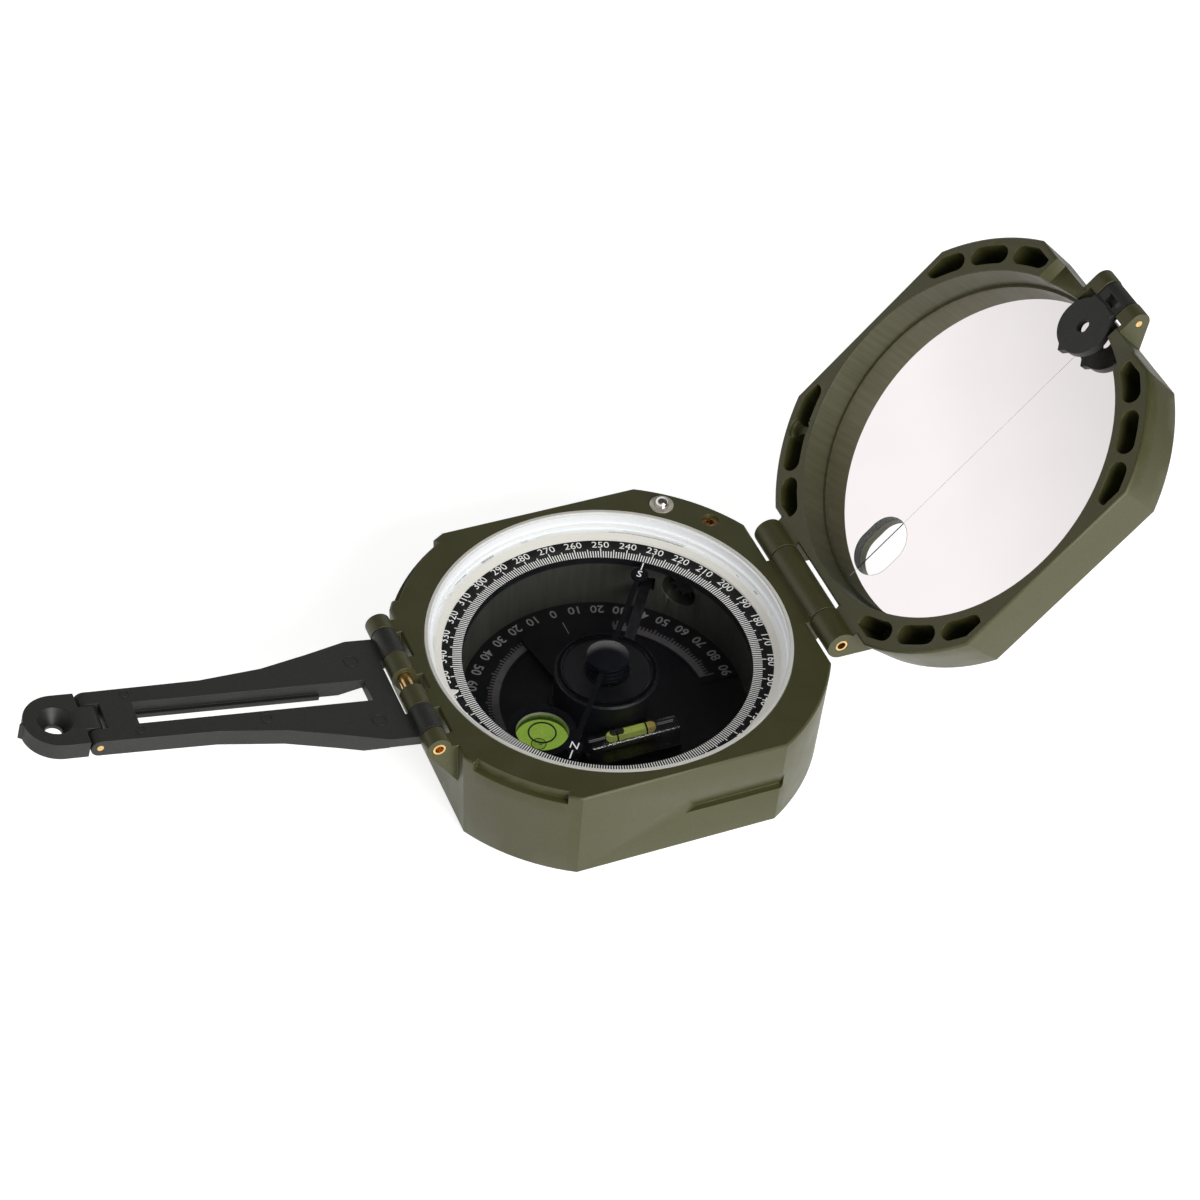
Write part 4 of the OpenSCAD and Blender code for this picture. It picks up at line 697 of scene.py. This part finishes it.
# %% Cut the mirror and its window
MIRROR_LOW, MIRROR_HIGH, MIRROR_R = 7.05, 8.75, 34.2
MIRROR_THICK = MIRROR_HIGH - MIRROR_LOW
WINDOW_AT, WINDOW_LONG, WINDOW_WIDE = 25.1, 12.6, 9.9
WINDOW_NEAR, WINDOW_FAR = WINDOW_AT - WINDOW_LONG / 2, WINDOW_AT + WINDOW_LONG / 2


def oval(bm, shrink, low):
    """A closed ring of edges: a circle pulled apart along X."""
    ring = bmesh.ops.create_circle(bm, segments=48, radius=WINDOW_WIDE / 2 - shrink)["verts"]
    bmesh.ops.rotate(bm, verts=ring, matrix=Matrix.Rotation(math.pi / 48, 3, "Z"))
    for vert in ring:
        vert.co.x += math.copysign((WINDOW_LONG - WINDOW_WIDE) / 2, vert.co.x)
    bmesh.ops.translate(bm, verts=ring, vec=(WINDOW_AT, 0, low))
    return ring


def ring_edges(verts):
    """The edges that join the given vertices."""
    return list({e for v in verts for e in v.link_edges})


def thicken(bm, thick, matrix, rim=0.0):
    """Gives flat faces a thickness, rounds the outer edges and moves the piece to its place."""
    flat = list(bm.faces)
    grown = bmesh.ops.extrude_face_region(bm, geom=flat)["geom"]
    risen = [g for g in grown if isinstance(g, bmesh.types.BMVert)]
    bmesh.ops.translate(bm, vec=(0, 0, thick), verts=risen)
    bmesh.ops.recalc_face_normals(bm, faces=bm.faces)
    if rim:
        sharp = [e for e in bm.edges if len(e.link_faces) == 2 and e.calc_face_angle() > 1.2]
        bmesh.ops.bevel(bm, geom=sharp, offset=rim, segments=2, profile=0.5, affect="EDGES",
                        material=-1)
    bm.transform(matrix)


bm = bmesh.new()
outer = bmesh.ops.create_circle(bm, segments=128, radius=MIRROR_R)["verts"]
bmesh.ops.translate(bm, verts=outer, vec=(0, 0, MIRROR_LOW))
inner = oval(bm, 0, MIRROR_LOW)
bmesh.ops.bridge_loops(bm, edges=ring_edges(outer) + ring_edges(inner))
thicken(bm, MIRROR_THICK, LID, 0.06)
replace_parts(new_piece("mirror_silvered", bm, silver, "lid"), "mirror")

bm = bmesh.new()
bm.faces.new(oval(bm, 0.04, MIRROR_LOW + 0.05))
thicken(bm, MIRROR_THICK - 0.1, LID)
new_piece("mirror_window", bm, window_glass, "lid")

bm = bmesh.new()
outer, inner = oval(bm, 0.005, MIRROR_LOW + 0.02), oval(bm, 0.035, MIRROR_LOW + 0.02)
bmesh.ops.bridge_loops(bm, edges=ring_edges(outer) + ring_edges(inner))
thicken(bm, MIRROR_THICK - 0.04, LID)
new_piece("window_edge", bm, nylon, "lid")


def lid_line(bm, start, stop, wide, low):
    """A straight line along the lid's middle, printed under the closed lid's mirror."""
    size = Matrix.Diagonal((stop - start, wide, INK, 1))
    place = Matrix.Translation(((start + stop) / 2, 0, low - INK / 2))
    bmesh.ops.create_cube(bm, size=1, matrix=LID @ place @ size)


bm = bmesh.new()
lid_line(bm, WINDOW_NEAR + 0.1, WINDOW_FAR - 0.1, 0.24, MIRROR_LOW + 0.05)
new_piece("sight_line_black", bm, soft_black, "lid")
bm = bmesh.new()
lid_line(bm, WINDOW_FAR + 0.1, MIRROR_R - 0.8, 0.08, MIRROR_LOW)
lid_line(bm, -MIRROR_R + 1.0, WINDOW_NEAR - 0.1, 0.05, MIRROR_LOW)
new_piece("sight_line_scribed", bm, faint_ink, "lid")

# %% [markdown]
# ## Inside the round level
# Looking down into the cup one sees a bright dyed disc, a pale wall behind it, a black circle on
# the lens and the thin outline of the bubble. The wall is partly painted reflection, and the dark
# band at its foot and the bubble's dark outline are painted shade. Each is a ring: an outline spun
# about the cup's axis. The bubble is a flat lens under the glass, and stands for the CAD bubble.

# %% Build the round level
CUP_AT = Vector((-16.5, -9.0, 0))
LENS_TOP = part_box("round_level_lens")[1].z / MM
DISC_TOP, DISC_R, DISC_THICK = LENS_TOP - 2.1, 5.1, 0.3
WALL_IN, WALL_OUT, SHADE_HIGH = 5.0, 5.12, 0.8


def at(x, y, z):
    return Matrix.Translation((x, y, z))


def wire(radius, thick, height=0.0):
    """The outline of a round wire, for a thin ring."""
    turns = [math.tau * k / 8 for k in range(8)]
    return [(radius + thick * math.cos(t), height + thick * math.sin(t)) for t in turns]


def in_cup(name, section, finish):
    """A piece spun about the cup's axis."""
    bm = spun(section, 72)
    bm.transform(at(*CUP_AT))
    return new_piece(name, bm, finish, "clinometer")


bm = bmesh.new()
bm.faces.new(bmesh.ops.create_circle(bm, segments=72, radius=DISC_R)["verts"])
bmesh.ops.translate(bm, verts=bm.verts, vec=CUP_AT + Vector((0, 0, DISC_TOP - DISC_THICK)))
thicken(bm, DISC_THICK, Matrix.Identity(4), 0.08)
new_piece("round_level_disc", bm, lime, "clinometer")
# Painted shade at the foot of the wall, and the wall's tone above it partly painted reflection.
in_cup("round_level_shade", washer(WALL_IN, WALL_OUT, DISC_TOP - 0.1, DISC_TOP + SHADE_HIGH),
       cup_shade)
in_cup("round_level_wall", washer(WALL_IN, WALL_OUT, DISC_TOP + SHADE_HIGH, LENS_TOP - 0.06),
       cup_wall)
in_cup("round_level_lip", [(4.9, LENS_TOP + 0.02), (5.17, LENS_TOP + 0.02), (5.17, LENS_TOP + 0.22),
                           (5.08, LENS_TOP + 0.3), (4.95, LENS_TOP + 0.22), (4.9, LENS_TOP + 0.1)],
       gloss_black)
in_cup("round_level_circle", wire(2.56, 0.16, LENS_TOP - 0.3), soft_black)

BUBBLE_AT, BUBBLE_R = (-17.9, -10.9, LENS_TOP - 0.98), 1.38
BUBBLE_SECTION = [(0.001, 0.14), (0.7, 0.11), (1.15, 0.03), (1.33, -0.08), (1.1, -0.22),
                  (0.6, -0.3), (0.001, -0.32)]
bm = spun(BUBBLE_SECTION, 40)
bm.transform(at(*BUBBLE_AT))
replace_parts(new_piece("round_level_bubble_lens", bm, bubble_film, "clinometer"),
            "round_level_bubble")
# The bubble's dark rim is painted shade, where the bubble bends the light away.
bm = spun(wire(BUBBLE_R, 0.085), 48)
absorb(bm, spun(wire(0.27, 0.06), 24), at(0.35, -0.1, 0.12))
bm.transform(at(*BUBBLE_AT))
new_piece("round_level_bubble_rim", bm, cup_shade, "clinometer")

# %% [markdown]
# ## Inside the tube level
# The vial is a rounded capsule of yellow spirit in a clear block, with a dark bubble, two black
# lines round it and a fine bore to each end of the block. The bubble's darkness is painted shade,
# where the bubble bends the light away. The block magnifies what lies in it and lifts it a little,
# which is modelled by a spirit capsule set half a millimetre nearer to the eye.

# %% Build the tube level
ALONG_X = Matrix.Rotation(math.pi / 2, 4, "Y")
VIAL = at(0.15, -12.35, 7.1) @ ALONG_X
VIAL_HALF, SPIRIT_R = 5.0, 1.05


def capsule(half, radius, steps=8):
    """The outline of a rod with round ends, for spinning about its own axis."""
    arc = [(radius * math.cos(a), half - radius + radius * math.sin(a))
           for a in (math.pi / 2 * k / steps for k in range(steps))]
    return [(0.001, -half)] + [(r, -z) for r, z in reversed(arc)] + arc + [(0.001, half)]


bm = spun(capsule(VIAL_HALF + 0.25, SPIRIT_R + 0.2), 40)
bm.transform(VIAL)
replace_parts(new_piece("tube_level_glass", bm, vial_glass, "clinometer"),
            "tube_level_vial")
bm = spun(capsule(VIAL_HALF, SPIRIT_R), 40)
bm.transform(VIAL)
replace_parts(new_piece("tube_level_spirit", bm, vial_dye, "clinometer"),
            "tube_level_fluid")
# The tube's bubble as a dark capsule: painted shade.
bm = spun(capsule(1.5, 0.72), 32)
bm.transform(VIAL @ at(-0.75, 0.05, -2.9))
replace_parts(new_piece("tube_level_bubble_painted_shade", bm, bubble_painted_shade, "clinometer"),
            "tube_level_bubble")
bm = bmesh.new()
for place in (-3.1, 2.8):
    absorb(bm, spun(wire(SPIRIT_R + 0.24, 0.17), 40), VIAL @ at(0, 0, place))
new_piece("tube_level_lines", bm, shade_and_line_black, "clinometer")
bm = bmesh.new()
for start, stop in ((-8.6, -5.0), (5.2, 8.55)):
    for lift in (0.0, 0.42):
        absorb(bm, spun(capsule((stop - start) / 2, 0.1, 3), 10),
               VIAL @ at(-lift, 0, (start + stop) / 2))
new_piece("tube_level_bores", bm, frosted, "clinometer")

# %% [markdown]
# ## Marks of the mould on the arm
# Round marks show where the mould pushed the arm out. Each pin leaves a fine ring of flash on the
# face; the rings here are round wires half sunk in it, so that their upper half catches the light.

# %% Press the mould's marks
ARM_TOP, FLASH = -0.2, 0.12
MOULD_MARKS = ((52.3, 5.0, 0.85), (51.9, -4.2, 0.85), (28.7, -4.5, 1.0), (8.4, 7.8, 1.35),
               (8.3, -7.9, 1.35))
bm = bmesh.new()
for along, across, radius in MOULD_MARKS:
    absorb(bm, spun(wire(radius, FLASH), 32), ARM @ at(along, -across, ARM_TOP))
new_piece("arm_mould_marks", bm, nylon, "arm")

# %% [markdown]
# ## Softened edges
# No moulding has a knife edge, and a thin bright line along each edge is what makes it look solid.
# The CAD mesh is loose triangles, so a copy is merged, its flat faces are dissolved to whole ones,
# and a Bevel modifier rounds whatever is sharper than 28 degrees.

# %% Round the mouldings
SHARP = math.radians(28)


def softened(node, finish, body, radius):
    """A copy of a CAD node with rounded edges, which stands for it."""
    bm = bmesh.new()
    bm.from_mesh(NODES[node].data)
    bmesh.ops.scale(bm, vec=(1 / MM,) * 3, verts=bm.verts)
    bmesh.ops.remove_doubles(bm, verts=bm.verts, dist=1e-3)
    bmesh.ops.dissolve_limit(bm, angle_limit=math.radians(0.1), verts=bm.verts, edges=bm.edges)
    for face in bm.faces:
        face.smooth = True
    piece = new_piece(node + "_soft", bm, finish, body)
    piece.data.set_sharp_from_angle(angle=SHARP)
    rounding = piece.modifiers.new("rounding", "BEVEL")
    rounding.limit_method = "ANGLE"
    rounding.angle_limit = SHARP
    rounding.width = radius * MM
    rounding.segments = 2
    rounding.use_clamp_overlap = False
    rounding.harden_normals = True
    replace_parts(piece, node)


softened("case", olive, "case", 0.14)
softened("lid", olive_lid, "lid", 0.14)
softened("arm", nylon, "arm", 0.12)
softened("arm_peep", nylon, "arm_peep", 0.14)
softened("lid_peep", nylon, "lid_peep", 0.12)

# %% [markdown]
# ## A table
# The photograph was taken on a white table that fades into white. The floor is a pale sheet, and
# the camera, mirrors and glass see it glow, so that it meets the white background without an edge.
# To its right stood something dark, which shows only in what the object reflects: for every ray
# but the camera's, the sheet darkens from DARK_FROM to DARK_TO millimetres.

# %% Build the table
TABLE_HALF = 3
PAPER, UNLIT_PAPER = (0.86, 0.86, 0.86), (0.10, 0.10, 0.09)
DARK_FROM, DARK_TO, PAPER_GLOW = 240, 420, 0.75

bm = bmesh.new()
bmesh.ops.create_grid(bm, x_segments=8, y_segments=8, size=TABLE_HALF)
mesh = bpy.data.meshes.new("table")
bm.to_mesh(mesh)
bm.free()
table = bpy.data.objects.new("table", mesh)
bpy.context.collection.objects.link(table)

paper = Finish("table_paper", PAPER, 0.9, Specular_IOR_Level=0.1)
glow = paper.node("Emission", Color=(1, 1, 1, 1))
ray = paper.node("LightPath")
lit = paper.spread(paper.axis(paper.place(), "X"), DARK_FROM, DARK_TO, 1, 0)
lit = paper.math("MAXIMUM", ray.outputs["Is Camera Ray"], lit)
mirrored = paper.math("MAXIMUM", ray.outputs["Is Glossy Ray"], ray.outputs["Is Transmission Ray"])
seen = paper.math("MAXIMUM", ray.outputs["Is Camera Ray"], paper.math("MULTIPLY", mirrored, lit))
paper.plug(paper.math("MULTIPLY", seen, PAPER_GLOW), glow.inputs["Strength"])
paper.plug(paper.blend(lit, UNLIT_PAPER, PAPER), paper.shader.inputs["Base Color"])
both = paper.node("AddShader")
paper.plug(paper.shader.outputs[0], both.inputs[0])
paper.plug(glow.outputs[0], both.inputs[1])
paper.plug(both.outputs[0], paper.tree.nodes["Material Output"].inputs["Surface"])
dress(table, paper)
print("table", round(table.dimensions.x, 1), "metres wide")

# %% [markdown]
# ## A tent of soft light
# The world is a light tent: white at eye level, dim overhead and open to a dark room on the right.
# Only camera, mirror and glass rays see its white; all other rays meet an even, weaker fill, so the
# object isn't lit twice. One large soft box in front gives the shadows their direction.

# %% Light the tent
tent = bpy.data.worlds.new("light_tent")
bpy.context.scene.world = tent
tent.use_nodes = True
tree = tent.node_tree
tree.nodes.clear()


def tent_node(kind, **inputs):
    made = tree.nodes.new("ShaderNode" + kind)
    for key, value in inputs.items():
        if isinstance(value, bpy.types.NodeSocket):
            tree.links.new(value, made.inputs[key.replace("_", " ")])
        else:
            made.inputs[key.replace("_", " ")].default_value = value
    return made


def tent_max(a, b):
    made = tree.nodes.new("ShaderNodeMath")
    made.operation = "MAXIMUM"
    tree.links.new(a, made.inputs[0])
    tree.links.new(b, made.inputs[1])
    return made.outputs[0]


direction = tent_node("SeparateXYZ", Vector=tent_node("TexCoord").outputs["Generated"])
roof = tent_node("MapRange", Value=direction.outputs["Z"], From_Min=0.37, From_Max=0.61,
                 To_Min=1.0, To_Max=0.05).outputs[0]
walls = tent_node("MapRange", Value=direction.outputs["X"], From_Min=0.55, From_Max=0.9,
                  To_Min=roof, To_Max=0.1).outputs[0]
fill = tent_node("Background", Color=(1.0, 0.99, 0.98, 1), Strength=0.27)
seen_walls = tent_node("Background", Color=(1.0, 0.985, 0.985, 1), Strength=walls)
plain = tent_node("Background", Color=(1, 1, 1, 1), Strength=1.0)
ray = tent_node("LightPath")
mirrored = tent_max(ray.outputs["Is Glossy Ray"], ray.outputs["Is Transmission Ray"])
first = tent_node("MixShader", Fac=mirrored)
tree.links.new(fill.outputs[0], first.inputs[1])
tree.links.new(seen_walls.outputs[0], first.inputs[2])
second = tent_node("MixShader", Fac=ray.outputs["Is Camera Ray"])
tree.links.new(first.outputs[0], second.inputs[1])
tree.links.new(plain.outputs[0], second.inputs[2])
out = tree.nodes.new("ShaderNodeOutputWorld")
tree.links.new(second.outputs[0], out.inputs["Surface"])


def soft_lamp(name, azimuth, elevation, distance, size, power):
    """A square soft box that looks at the case."""
    light = bpy.data.lights.new(name, "AREA")
    light.size, light.energy = size, power
    lamp = bpy.data.objects.new(name, light)
    bpy.context.collection.objects.link(lamp)
    a, e = math.radians(azimuth), math.radians(elevation)
    away = Vector((math.sin(a) * math.cos(e), -math.cos(a) * math.cos(e), math.sin(e)))
    lamp.location = away * distance
    lamp.rotation_euler = away.to_track_quat("Z", "Y").to_euler()


soft_lamp("front_box", 11, 26, 0.9, 0.5, 6.4)
bpy.context.scene.view_settings.view_transform = "Standard"
print("lit by", tent.name, "and front_box")
